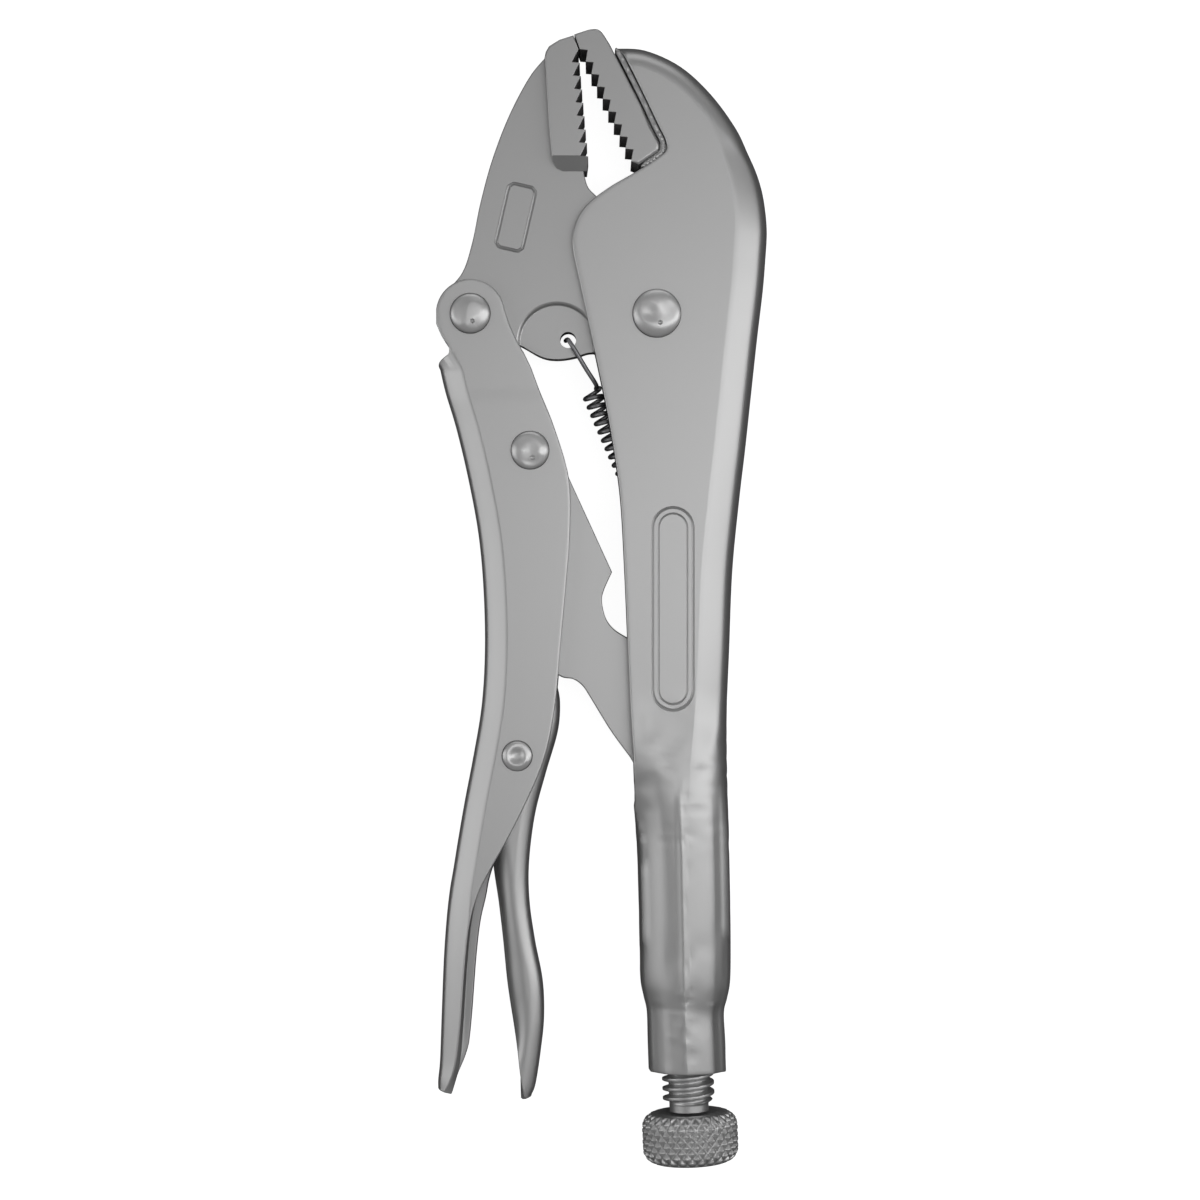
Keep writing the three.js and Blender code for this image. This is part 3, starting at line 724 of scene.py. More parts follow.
def rivet_steel():
    finish = bpy.context.scene.pliers_finish
    # the last value sets the painted shade in hollows, as a share of the colour
    return metal("rivet_steel", finish.rivet, 0.2, grain=1700.0, bump=0.07, contrast=0.14, hollow_shade=0.3)


def turned_steel():
    if "turned_steel" in bpy.data.materials:
        return bpy.data.materials["turned_steel"]
    finish = bpy.context.scene.pliers_finish
    # the last value sets the painted shade in hollows, as a share of the colour
    material = metal(
        "turned_steel", finish.turned, 0.25, grain=2200.0, bump=0.1, contrast=0.08, hollow_shade=0.22)
    graph = Graph(material.node_tree)
    # painted shade: the thread's roots and the knurl's grooves are darkened by how deep they lie
    root = graph.add("ShaderNodeAttribute", {"attribute_name": "root"}).outputs["Fac"]
    colour = material.node_tree.nodes["Principled BSDF"].inputs["Base Color"]
    painted_root_shade = graph.spread(root, 0.35, 1.0, 0.0, 0.85, "LINEAR")
    graph.feed(graph.mix_colour(painted_root_shade, colour.links[0].from_socket, scaled(finish.turned, 0.12)), colour)
    return material


def spring_wire():
    finish = bpy.context.scene.pliers_finish
    return metal("spring_wire", finish.wire, 0.36, grain=3000.0, stretch=0.3, bump=0.1, contrast=0.15)


# ---------------------------------------------------------------- fixed handle and welds

# Spine x, y and free edge x, y, from the nose down to the collar
HANDLE_STATIONS = [
    (3.0, 119.9, 5.2, 117.8),
    (9.5, 119.5, 7.0, 113.8),
    (17.2, 116.0, 9.8, 107.9),
    (23.8, 110.0, 12.4, 102.4),
    (29.3, 102.6, 14.0, 99.0),
    (32.0, 97.2, 13.8, 96.7),
    (34.0, 92.8, 10.5, 94.2),
    (35.3, 88.5, 6.2, 91.6),
    (36.0, 84.0, 1.4, 88.8),
    (36.25, 80.6, -3.2, 85.2),
    (36.2, 78.0, -5.6, 81.4),
    (36.0, 75.0, -6.3, 76.6),
    (35.4, 67.5, -4.6, 68.0),
    (34.1, 56.5, -2.2, 57.0),
    (32.8, 44.5, 0.4, 44.7),
    (31.5, 32.4, 2.6, 32.5),
    (30.2, 21.4, 4.1, 21.5),
    (28.7, 6.0, 5.0, 6.0),
    (28.0, -11.5, 5.75, -11.3),
    (27.5, -24.0, 6.3, -24.0),
    (27.5, -34.0, 6.9, -34.0),
    (27.6, -39.0, 7.0, -39.0),
    (27.7, -44.0, 7.1, -44.0),
    (27.9, -50.0, 7.3, -50.0),
    (28.0, -56.0, 7.5, -56.0),
    (28.2, -66.3, 7.8, -66.3),
    (28.3, -76.0, 8.0, -76.0),
    (28.2, -83.5, 8.2, -83.5),
    (27.6, -87.3, 8.9, -87.3),
    (26.8, -90.6, 9.6, -90.6),
    (27.1, -97.0, 9.8, -97.0),
    (27.3, -103.4 + RIM, 10.0, -103.4 + RIM),
]
TUBE_FROM, TUBE_TO = -20, -46  # where the walls roll in from flat to round
CURL_FROM, CURL_TO = -26, -60
CLOSED = math.radians(88)
SPINE_FLAT, NOSE_BEND = 0.1, 4.6  # half the spine's flat strip, and the bend's radius at the nose
HANDLE_FACET = math.radians(24)  # slope pressed along the bend
# Degrees round the tube between its pressed flats
CREASES = (-30, 27, 51, 95, 119, 152, 208, 241, 265, 309, 333)
FLAT_SHARE, DENT_DEPTH, TICK_DEPTH, WRINKLE_DEPTH = 0.62, 0.25, 0.5, 0.22


def handle_shape(y):
    tube = lerp(HANDLE_HALF, TUBE_HALF, smooth(TUBE_FROM, TUBE_TO, y))
    half = lerp(tube, COLLAR_HALF, smooth(-84, -90, y))
    closing = CLOSED * smooth(CURL_FROM, CURL_TO, y)
    facet = HANDLE_FACET * smooth(-46, -24, y) * smooth(112, 92, y)
    bend = lerp(half - SPINE_FLAT, NOSE_BEND, smooth(88, 108, y))
    return {"half": half, "bend": bend, "closing": closing, "sheet": SHEET, "facet": facet}


def pressed_depth(x, y, z, middle):
    """How far the press flattened and wrinkled the tube at a point, in millimetres."""
    round_share = smooth(-34, -56, y)
    angle = math.degrees(math.atan2(z, x - middle)) % 360
    if angle > CREASES[-1]:
        angle -= 360
    i = max(k for k in range(len(CREASES) - 1) if CREASES[k] <= angle)
    off = math.radians(angle - (CREASES[i] + CREASES[i + 1]) / 2)
    flat = TUBE_HALF * (1 - 1 / math.cos(off))
    wrinkle = smooth(-14, -24, y) * smooth(-62, -44, y)
    ripple = max(noise.noise(Vector((x * 0.22, y * 0.5, z * 0.2))), 0)
    dents = max(noise.noise(Vector((x * 0.3 + 7, y * 0.16, z * 0.3))) - 0.2, 0)
    near_middle = smooth(4.5, 1.5, abs(x - middle + 1.5))
    ticks = max(noise.noise(Vector((x * 0.9, y * 0.75, 3.0))) - 0.25, 0) * near_middle
    pressed = FLAT_SHARE * flat + DENT_DEPTH * dents + TICK_DEPTH * ticks
    return pressed * round_share + WRINKLE_DEPTH * ripple * wrinkle


def handle_rows():
    rows = station_rows(HANDLE_STATIONS, 6, handle_shape)
    for row in rows:
        middle = (row[0][0].x + row[len(row) // 2][0].x) / 2
        for k, (outer, inner) in enumerate(row):
            if outer.y < -12:
                inward = (inner - outer).normalized()
                row[k] = (outer + inward * pressed_depth(outer.x, outer.y, outer.z, middle), inner)
    return rows


BADGE_X, BADGE_TOP, BADGE_FOOT, BADGE_HALF, BADGE_MARGIN = 15.5, 19.6, -24.4, 4.4, 1.3


def badge_path(margin):
    """A plain long outline with round ends, drawn in by a margin."""
    half = BADGE_HALF - margin
    upper = arc((BADGE_X, BADGE_TOP - margin - half), half, 0, 180, 12)
    lower = arc((BADGE_X, BADGE_FOOT + margin + half), half, 180, 360, 12)
    return upper + lower


def rivet_hole(name):
    rivet = RIVETS[name]
    return bar("hole", rivet["at"], rivet["shank"] + HOLE_GAP, -20, 20, 48)


RING_INSET, RING_HALF = 0.08, 0.28


def rivet_cutters(name):
    """A rivet's hole, and the ring that its head presses into the sheet on both sides."""
    rivet = RIVETS[name]
    ring = circle(rivet["at"], rivet["head"] - RING_INSET, 72)
    rings = [groove_tool(ring, lambda y: side * HANDLE_HALF, RING_HALF) for side in (1, -1)]
    return [rivet_hole(name), *rings]


class PLIERS_OT_fixed_handle(bpy.types.Operator):
    """Build the folded handle with its rolled tube, collar, plain badge and spring peg"""

    bl_idname = "pliers.fixed_handle"
    bl_label = "Fixed handle"

    def execute(self, context):
        sizes = context.scene.pliers_sizes
        handle = folded_sheet("handle_shell", handle_rows(), 1)
        wall = HANDLE_HALF - SHEET
        combine(handle, "UNION", bar("peg", SPRING_PEG, 1.3, -wall - 1, 1.2, 24))
        badge = [
            groove_tool(badge_path(margin), lambda y: handle_shape(y)["half"], sizes.groove * share)
            for margin, share in ((0, 1), (BADGE_MARGIN, 0.7))
        ]
        combine(handle, "DIFFERENCE", *rivet_cutters("jaw_rivet"), *badge)
        shade(handle, 28)
        soften_tube(handle, DRAWING_ORIGIN.y + CURL_FROM * MM)
        finish_piece(handle, plated_sheet(), "fixed_handle", "fixed_handle")
        return {"FINISHED"}


WELD_HALF = 0.6
WELD_LINE = [
    (3.1, 119.3), (4.2, 117.3), (6.2, 113.4), (9.3, 107.15), (11.6, 102.25), (12.95, 99.6),
    (13.2, 98.2), (12.95, 96.8), (11.55, 95.6), (10.2, 94.65), (8.6, 93.55),
]


def weld_bead(name, side):
    """A narrow bead with uneven ripples along the jaw's edge, on one side of the tool."""
    path = spline(WELD_LINE, 180)
    low, high = TANG_HALF + 0.3, HANDLE_HALF + 0.08
    rings = []
    bm = bmesh.new()
    for i, p in enumerate(path):
        t = i / (len(path) - 1)
        step = Vector(path[min(i + 1, len(path) - 1)]) - Vector(path[max(i - 1, 0)])
        across = Vector((step.y, -step.x)).normalized()
        taper = min(1, math.sin(math.pi * t) * 4 + 0.25)
        ripple = 0.05 * math.sin(t * 130) + 0.12 * noise.noise(Vector((p[0] * 1.4, p[1] * 1.4, side)))
        half = WELD_HALF * taper
        top = high + ripple * taper
        section = [(-half, low), (-half, top - 0.35), (-half * 0.8, top - 0.12), (-half * 0.35, top),
                   (half * 0.35, top), (half * 0.8, top - 0.12), (half, top - 0.35), (half, low)]
        ring = []
        for offset, z in section:
            at = Vector(p) + across * offset
            ring.append(bm.verts.new((at.x, at.y, side * z)))
        rings.append(ring)
    join_rings(bm, rings)
    bm.faces.new(rings[0])
    bm.faces.new(rings[-1][::-1])
    return shade(object_from(name, bm), 60)


class PLIERS_OT_welds(bpy.types.Operator):
    """Build the two weld beads that hold the fixed jaw in the handle"""

    bl_idname = "pliers.welds"
    bl_label = "Welds"

    def execute(self, context):
        for place, side in (("front", 1), ("back", -1)):
            bead = weld_bead("weld_bead_" + place, side)
            finish_piece(bead, weld_metal(), "jaw_weld_" + place, "fixed_handle")
        return {"FINISHED"}


# ---------------------------------------------------------------- jaws


def teeth(start, end, count, inward, level_first):
    """Teeth between two points, each notch with one level flank and one slanted flank."""
    points = [start]
    for i in range(count):
        crest = [lerp(a, b, i / count) for a, b in zip(start, end)]
        following = [lerp(a, b, (i + 1) / count) for a, b in zip(start, end)]
        root = crest if level_first else following
        points.append((root[0] + inward * TOOTH_DEPTH, root[1] + (-0.15 if level_first else 0.15)))
        points.append(tuple(following))
    return points


def with_radii(*stretches):
    """One outline and its rounding radii, from stretches of (points, radius)."""
    outline, radii = [], []
    for points, radius in stretches:
        outline += points
        radii += [radius] * len(points)
    return outline, radii


class PLIERS_OT_fixed_jaw(bpy.types.Operator):
    """Build the fixed jaw's toothed block and the tang inside the handle"""

    bl_idname = "pliers.fixed_jaw"
    bl_label = "Fixed jaw"

    def execute(self, context):
        crown = spline([(-2.9, 123.2), (-1.2, 123.36), (0.1, 122.6), (1.8, 120)], 12)
        outline, radii = with_radii(
            ([(-5.9, 122.2), *crown, (5.1, 113.5), (8.4, 107), (10.5, 102), (12.2, 98.9)], 0.4),
            ([(12.5, 98.2), (12.5, 97.5), (12.2, 96.7), (8.1, 93.9)], 0.75),
            (teeth((-4.7, 118.9), (6.4, 94.6), 9, 1, True)[::-1], 0.13),
        )
        jaw = rounded_plate("fixed_jaw_block", outline, -JAW_BLOCK_HALF, JAW_BLOCK_HALF, radii)
        tang = [(0.5, 116), (5.5, 111.5), (11, 110), (18, 105), (22.5, 98), (23.5, 92.5), (16, 92.5),
                (8, 100)]
        combine(jaw, "UNION", rounded_plate("tang", tang, -TANG_HALF, TANG_HALF, 0.3))
        shade(jaw, 35)
        weight_normals(jaw)
        finish_piece(jaw, forged_steel(), "fixed_jaw", "fixed_handle")
        return {"FINISHED"}


def foot_wedge(side):
    """What the sloping foot of the movable jaw's block leaves out, on one side."""
    rise = JAW_BLOCK_HALF - JAW_BODY_HALF
    corners = [
        (BLOCK_FOOT, JAW_BODY_HALF), (BLOCK_FOOT + rise, JAW_BLOCK_HALF + 0.05), (BLOCK_FOOT + rise, 12),
        (BLOCK_FOOT - 4, 12), (BLOCK_FOOT - 4, JAW_BODY_HALF),
    ]
    bm = bmesh.new()
    near = [bm.verts.new((-16, y, side * z)) for y, z in corners]
    far = [bm.verts.new((4, y, side * z)) for y, z in corners]
    bm.faces.new(near)
    bm.faces.new(far)
    for i in range(len(corners)):
        j = (i + 1) % len(corners)
        bm.faces.new([near[i], near[j], far[j], far[i]])
    return object_from("wedge", bm)


def recess_tool(side):
    """A cutter for the round spring recess, with a softened floor corner and mouth."""
    floor = JAW_BODY_HALF - RECESS_DEPTH
    corner, lip = 0.35, 0.6
    profile = [(0, floor), (RECESS_RADIUS - corner, floor)]
    for a in (0.5, 1.0, 1.5):
        rounded = (RECESS_RADIUS - corner + corner * math.sin(a), floor + corner - corner * math.cos(a))
        profile.append(rounded)
    for a in (0, 0.3, 0.6, 0.9, 1.2, 1.5):
        profile.append((RECESS_RADIUS + lip - lip * math.cos(a), JAW_BODY_HALF - lip + lip * math.sin(a)))
    wide = RECESS_RADIUS + lip + 0.1
    profile += [(wide, JAW_BODY_HALF + 0.1), (wide, 8), (0, 8)]
    return lathe("recess", [(r, side * z) for r, z in profile], upright(RECESS_CENTRE), 96)


PLATE_CENTRE, PLATE_LEAN = (-18.7, 82.9), math.radians(-13)
PLATE_HALF_WIDTH, PLATE_HALF_LENGTH, PLATE_CORNER = 3.0, 7.1, 0.9


def plate_path():
    """The outline of the plain sunk plate, with its four corners cut."""
    w, h, c = PLATE_HALF_WIDTH, PLATE_HALF_LENGTH, PLATE_CORNER
    corners = [
        (w, h - c), (w - c, h), (c - w, h), (-w, h - c),
        (-w, c - h), (c - w, -h), (w - c, -h), (w, c - h),
    ]
    turn = Matrix.Rotation(PLATE_LEAN, 2)
    placed = [turn @ Vector(p) + Vector(PLATE_CENTRE) for p in corners]
    path = []
    for first, second in zip(placed, placed[1:] + placed[:1]):
        path += [tuple(first.lerp(second, t)) for t in (0.08, 0.35, 0.65, 0.92)]
    return path


class PLIERS_OT_movable_jaw(bpy.types.Operator):
    """Build the movable jaw with its toothed block, spring recess and plain sunk plate"""

    bl_idname = "pliers.movable_jaw"
    bl_label = "Movable jaw"

    def execute(self, context):
        sizes = context.scene.pliers_sizes
        back = spline([(-12.0, 118.0), (-15.7, 113.5), (-20.1, 105.2), (-23.8, 95.6), (-26.4, 86.1),
                       (-28.2, 77.4), (-30.4, 70.8), (-34.2, 66.6)], 48)
        belly = spline([(-23.6, 57.6), (-17.8, 55.2), (-13.2, 52.7), (-9.7, 52.1), (-5.8, 52.6),
                        (-2.1, 53.6), (4.0, 52.9)], 32)
        throat = spline([(2.0, 84.0), (-0.9, 87.3), (-3.0, 89.6), (-3.9, 93.0)], 14)
        around_lever = arc(LEVER_PIVOT, 7.0, 155, 300, 20)
        around_pivot = arc(JAW_PIVOT, 11.6, 235, 440, 32)
        outline = back + around_lever + belly + around_pivot + throat + [(-4.6, 100), (-8.0, 118)]
        jaw = rounded_plate("movable_jaw_body", outline, -JAW_BODY_HALF, JAW_BODY_HALF, 0.3)
        cutters = [recess_tool(1), recess_tool(-1), bar("hole", SPRING_HOLE, 1.75, -20, 20, 48)]
        cutters += [rivet_hole("jaw_rivet"), rivet_hole("lever_rivet")]
        cutters += [groove_tool(plate_path(), lambda y: JAW_BODY_HALF, sizes.groove * 1.25)]
        combine(jaw, "DIFFERENCE", *cutters)
        outline, radii = with_radii(
            ([(-6.1, 122.0), (-9.2, 121.0), (-11.4, 119.6), (-12.1, 118.4), (-12.4, 117), (-11.9, 109)], 0.4),
            ([(-11.4, 101.5), (-10.9, 96.4), (-10.5, 94.8), (-9.7, 93.5), (-8.4, 92.9), (-3.2, 92.9)], 0.4),
            (teeth((-5.0, 118.9), (-2.9, 95.7), 8, -1, False)[::-1], 0.13),
        )
        block = rounded_plate("block", outline, -JAW_BLOCK_HALF, JAW_BLOCK_HALF, radii)
        combine(block, "DIFFERENCE", foot_wedge(1), foot_wedge(-1))
        combine(jaw, "UNION", block)
        shade(jaw, 35)
        weight_normals(jaw)
        finish_piece(jaw, forged_steel(), "movable_jaw", "movable_jaw")
        return {"FINISHED"}


# ---------------------------------------------------------------- lever

# Spine x, y and free edge x, y, from the notch below the ears to the tail
LEVER_STATIONS = [
    (-35.4, 50.4, -15.5, 50.5),
    (-34.1, 44.8, -13.4, 44.8),
    (-31.7, 36.8, -10.2, 36.8),
    (-29.1, 25.8, -7.1, 25.8),
    (-26.9, 13.8, -6.9, 13.8),
    (-25.8, 1.7, -7.8, 1.7),
    (-25.5, -11.5, -9.0, -11.5),
    (-26.2, -23.5, -10.1, -23.5),
    (-28.0, -34.5, -12.3, -34.5),
    (-29.9, -44.4, -16.4, -44.4),
    (-31.3, -52.5, -20.5, -52.5),
    (-32.4, -59.3, -24.3, -59.3),
    (-33.2, -64.1, -26.7, -64.1),
    (-33.9, -70.5, -28.6, -70.5),
    (-34.5, -79.4, -29.7, -79.4),
    (-35.0, -92.6, -30.7, -92.6),
    (-35.3, -101.0, -31.7, -101.0),
    (-35.7, -105.2, -33.0, -105.2),
    (-35.7, -106.9, -34.1, -107.4),
]
EAR_LOW = [
    (-35.9, 59.5, -20.1, 59.5),
    (-34.6, 56.6, -18.9, 56.6),
    (-33.1, 54.4, -17.8, 54.4),
    (-32.9, 52.9, -16.9, 52.9),
]
EAR_FROM = BEND_STEPS - 1  # the first column of a half section that the ears keep
LEVER_FACET = math.radians(31)
PRESS_LINE = 44.3  # where the die's edge left a faint step across the flank
TAIL_EXTRA = 2.0  # how much wider the tail's back wall is
PRESS_STEP = 0.07


def ear_stations():
    """Left x, y and right x, y of the ears' outline, from the top down to the notch."""
    stations = []
    for angle in (86, 79, 72, 65, 58, 51, 44, 37, 30, 22, 14, 7):
        a = math.radians(angle)
        dx, y = EAR_RADIUS * math.cos(a), LEVER_PIVOT[1] + EAR_RADIUS * math.sin(a)
        stations.append((LEVER_PIVOT[0] - dx, y, LEVER_PIVOT[0] + dx, y))
    return stations + spline(EAR_LOW, 9)


def wall_points(left, right, columns):
    """Front and back wall points of one row of the flat ears."""
    points = []
    for k in range(columns - EAR_FROM):
        at = left.lerp(right, k / (columns - EAR_FROM - 1))
        points.append((Vector((at.x, at.y, HANDLE_HALF)), Vector((at.x, at.y, HANDLE_HALF - SHEET))))
    return points


def mirrored(points):
    flip = Vector((1, 1, -1))
    return [(outer * flip, inner * flip) for outer, inner in reversed(points)]


def lever_shape(y):
    """The tail's back wall is wider than its front wall."""
    rear_extra = TAIL_EXTRA * smooth(-56, -68, y) * smooth(-106, -97, y)
    shape = {"half": HANDLE_HALF, "bend": LEVER_BEND, "closing": 0, "sheet": SHEET}
    return {**shape, "rear_extra": rear_extra, "facet": LEVER_FACET}


def lever_rows():
    channel = station_rows(LEVER_STATIONS, 5, lever_shape)
    columns = len(channel[0]) // 2
    rows = []
    centre = Vector(LEVER_PIVOT)
    for left_x, left_y, right_x, right_y in ear_stations():
        left, right = Vector((left_x, left_y)), Vector((right_x, right_y))
        left += (centre - left).normalized() * RIM
        right += (centre - right).normalized() * RIM
        wall = wall_points(left, right, columns)
        gap = [None] * (2 * EAR_FROM)
        rows.append(mirrored(wall) + gap + wall)
    # the slanted top of the bend runs from the notch down to the spine
    wall = rows.pop()[-(columns - EAR_FROM):]
    bend = channel[0][columns:columns + EAR_FROM]
    lift = wall[0][0].y - bend[0][0].y
    slanted = []
    for k, (outer, inner) in enumerate(bend):
        share = k / EAR_FROM
        shift = Vector(((wall[0][0].x - channel[0][columns + EAR_FROM][0].x) * share, lift * share - RIM, 0))
        slanted.append((outer + shift, inner + shift))
    rows.append(mirrored(wall) + mirrored(slanted) + slanted + wall)
    rows += channel[1:]
    for row in rows:
        for entry in filter(None, row):
            outer = entry[0]
            above = smooth(PRESS_LINE - 0.7, PRESS_LINE + 0.7, outer.y)
            outer.z -= math.copysign(PRESS_STEP * above, outer.z)
    return rows


class PLIERS_OT_lever(bpy.types.Operator):
    """Build the folded lever with its ears, notch, rolled spine and tapered tail"""

    bl_idname = "pliers.lever"
    bl_label = "Lever"

    def execute(self, context):
        lever = folded_sheet("lever_shell", lever_rows(), -1)
        names = ("lever_rivet", "toggle_rivet", "release_rivet")
        combine(lever, "DIFFERENCE", *(tool for name in names for tool in rivet_cutters(name)))
        shade(lever, 28)
        finish_piece(lever, plated_sheet(), "lever", "lever")
        return {"FINISHED"}


# ---------------------------------------------------------------- toggle link and release lever


class PLIERS_OT_toggle_link(bpy.types.Operator):
    """Build the stamped link between the lever and the screw"""

    bl_idname = "pliers.toggle_link"
    bl_label = "Toggle link"

    def execute(self, context):
        notch = spline([(2.3, 5.6), (0.55, 1.7), (0.1, -0.9), (1.0, -4.6), (2.9, -7.0), (5.8, -8.8)], 28)
        hump = spline([(6.2, -34.8), (1.9, -28.9), (-2.5, -21.7), (-4.2, -19.2), (-6.2, -17.8), (-9.1, -17.1),
                       (-12.4, -13.5), (-16.2, 2), (-20.3, 26)], 48)
        outline = notch + [(13, -13), (18.5, -22), (21.0, -34)] + arc(LINK_NOSE, 4.6, 10, -170, 24) + hump
        outline += arc(TOGGLE_PIVOT, 5.2, 190, 25, 24) + [(-6.9, 25.7), (-2.5, 16.1)]
        link = rounded_plate("toggle_link_plate", outline, -LINK_HALF, LINK_HALF, 0.3)
        combine(link, "DIFFERENCE", rivet_hole("toggle_rivet"))
        shade(link, 35)
        weight_normals(link)
        finish_piece(link, plated_sheet(), "toggle_link", "toggle_link")
        return {"FINISHED"}


# Spine x, y on the finger side and free edge x, y inside the lever
RELEASE_STATIONS = [
    (-9.8, -18.6 - RIM, -14.2, -18.6 - RIM),
    (-9.1, -23.0, -19.4, -23.0),
    (-9.6, -29.4, -22.8, -29.4),
    (-12.2, -38.4, -23.9, -38.4),
    (-14.6, -47.6, -24.5, -47.6),
    (-15.9, -58.0, -24.0, -58.0),
    (-15.8, -66.5, -22.8, -66.5),
    (-14.6, -75.1, -21.8, -75.1),
    (-12.9, -84.0, -20.9, -84.0),
    (-12.6, -92.0, -19.7, -92.0),
    (-13.3, -99.2, -18.5, -99.2),
    (-14.4, -106.3, -17.4, -106.0),
    (-15.3, -109.0 + RIM, -16.7, -109.4 + RIM),
]
RELEASE_CURL = math.radians(68)


def release_shape(y):
    """The finger pad's walls roll in a little towards their free edges."""
    closing = RELEASE_CURL * smooth(-44, -60, y) * smooth(-106, -92, y)
    return {"half": RELEASE_HALF, "bend": RELEASE_BEND, "closing": closing, "sheet": RELEASE_SHEET}


class PLIERS_OT_release_lever(bpy.types.Operator):
    """Build the small trough-shaped release lever"""

    bl_idname = "pliers.release_lever"
    bl_label = "Release lever"

    def execute(self, context):
        release = folded_sheet("release_lever_shell", station_rows(RELEASE_STATIONS, 7, release_shape), 1)
        combine(release, "DIFFERENCE", rivet_hole("release_rivet"))
        shade(release, 32)
        finish_piece(release, plated_sheet(), "release_lever", "release_lever")
        return {"FINISHED"}


# ---------------------------------------------------------------- rivets


SEAT = HANDLE_HALF + HOLE_GAP  # height of the heads' undersides
LIP_SHARE, DISH_DEPTH, DOME_STEPS = 0.3, 0.5, 20
MARK_RADIUS, MARK_LEVEL, MARK_OFFSET = 0.55, 0.86, (0.14, -0.42)  # the last two as shares of dome and head
ROUGH_SCALE, ROUGH_DEPTH = 0.26, 0.42  # uneven hammering of the heads


def rivet_profile(head, dome, shank, dished):
    """Half of a rivet's outline, from the shank's middle to the crown."""
    lip = SEAT + LIP_SHARE * dome
    points = [(shank, 0), (shank, SEAT), (head - 0.25, SEAT), (head, SEAT + 0.2), (head, lip)]
    for i in range(1, DOME_STEPS + 1):
        a = i / DOME_STEPS * math.pi / 2
        r = head * math.cos(a)
        z = lip + (1 - LIP_SHARE) * dome * math.sqrt(1 - math.cos(a) ** 3)
        hollow = DISH_DEPTH * smooth(0.72 * head, 0.15 * head, r) if dished else 0
        points.append((r, z - hollow))
    points[-1] = (0, points[-1][1])
    return points


def head_mark(rivet, side):
    """A cutter for the small punched mark beside the middle of a head."""
    at = Vector(rivet["at"]) + Vector(MARK_OFFSET) * rivet["head"]
    bm = bmesh.new()
    bmesh.ops.create_icosphere(bm, subdivisions=3, radius=MARK_RADIUS)
    bmesh.ops.translate(bm, verts=bm.verts, vec=(at.x, at.y, side * (SEAT + MARK_LEVEL * rivet["dome"])))
    return object_from("mark", bm)


def make_rivet(name, rivet):
    dished = name == "release_rivet"
    half = rivet_profile(rivet["head"], rivet["dome"], rivet["shank"], dished)
    profile = [(r, -z) for r, z in half[1:]][::-1] + half[1:]
    head_from = SEAT + 0.35

    def place(x, y, height):
        spot = Vector((x * ROUGH_SCALE + rivet["at"][0], y * ROUGH_SCALE, height * 0.05))
        inside = smooth(rivet["head"], 0.6 * rivet["head"], math.hypot(x, y))
        sink = ROUGH_DEPTH * max(noise.noise(spot), -0.25) * inside
        z = math.copysign(abs(height) - (sink + 0.05 if abs(height) > head_from else 0), height)
        return Vector((rivet["at"][0] + x, rivet["at"][1] + y, z))

    obj = lathe(name + "_heads", profile, place, 72)
    if not dished:
        combine(obj, "DIFFERENCE", head_mark(rivet, 1), head_mark(rivet, -1))
    return shade(obj, 40)


class PLIERS_OT_rivets(bpy.types.Operator):
    """Build the four rivets with their pressed heads"""

    bl_idname = "pliers.rivets"
    bl_label = "Rivets"

    def execute(self, context):
        for name, rivet in RIVETS.items():
            finish_piece(make_rivet(name, rivet), rivet_steel(), name, rivet["body"])
        return {"FINISHED"}


# ---------------------------------------------------------------- pieces grown by geometry nodes


def geometry_tree(name, **inputs):
    """A geometry node tree's graph, its inputs by name, and a function that closes it."""
    tree = bpy.data.node_groups.new(name, "GeometryNodeTree")
    tree.interface.new_socket("Geometry", in_out="INPUT", socket_type="NodeSocketGeometry")
    for label, kind in inputs.items():
        tree.interface.new_socket(label, in_out="INPUT", socket_type="NodeSocket" + kind)
    tree.interface.new_socket("Material", in_out="INPUT", socket_type="NodeSocketMaterial")
    tree.interface.new_socket("Geometry", in_out="OUTPUT", socket_type="NodeSocketGeometry")
    graph = Graph(tree)
    given = graph.add("NodeGroupInput").outputs

    def close(geometry):
        whole = graph.add("GeometryNodeRealizeInstances", Geometry=geometry).outputs[0]
        painted = graph.add("GeometryNodeSetMaterial", Geometry=whole, Material=given["Material"]).outputs[0]
        graph.add("NodeGroupOutput", Geometry=painted)

    return graph, given, close


def grown(name, source, tree, values, material):
    """A plain object from what a geometry node tree makes of a source mesh."""
    obj = add_object(name, source)
    modifier = obj.modifiers.new("grow", "NODES")
    modifier.node_group = tree
    values = {**values, "Material": material}
    for item in tree.interface.items_tree:
        if item.in_out == "INPUT" and item.name in values:
            modifier[item.identifier] = values[item.name]
    apply_modifiers(obj)
    obj.data.name = name
    return obj


TO_FRAME = Matrix.Translation(DRAWING_ORIGIN) @ Matrix.Scale(MM, 4)


def screw_axes(start):
    """Turns a piece drawn along +Z to the screw's axis, from a distance along it."""
    c, s = math.cos(SCREW_LEAN), math.sin(SCREW_LEAN)
    along = Vector((s, -c, 0))
    origin = Vector((LINK_NOSE[0], LINK_NOSE[1], 0)) + along * start
    columns = Matrix((Vector((c, s, 0)), Vector((0, 0, 1)), along)).transposed().to_4x4()
    return Matrix.Translation(origin) @ columns


def mark_roots(graph, geometry, share):
    """Stores how deep in a groove each point lies, from 0 to 1, for the painted shade that darkens the
    metal's colour there.
    """
    node = graph.add("GeometryNodeStoreNamedAttribute", {"data_type": "FLOAT"},
                     Geometry=geometry, Name="root", Value=share)
    return node.outputs[0]


THREAD_FLOOR, THREAD_CREST = 0.08, 0.38  # where the flank starts and ends within half a pitch
END_ROW = 0.0005  # the grid's first and last rows close on the axis


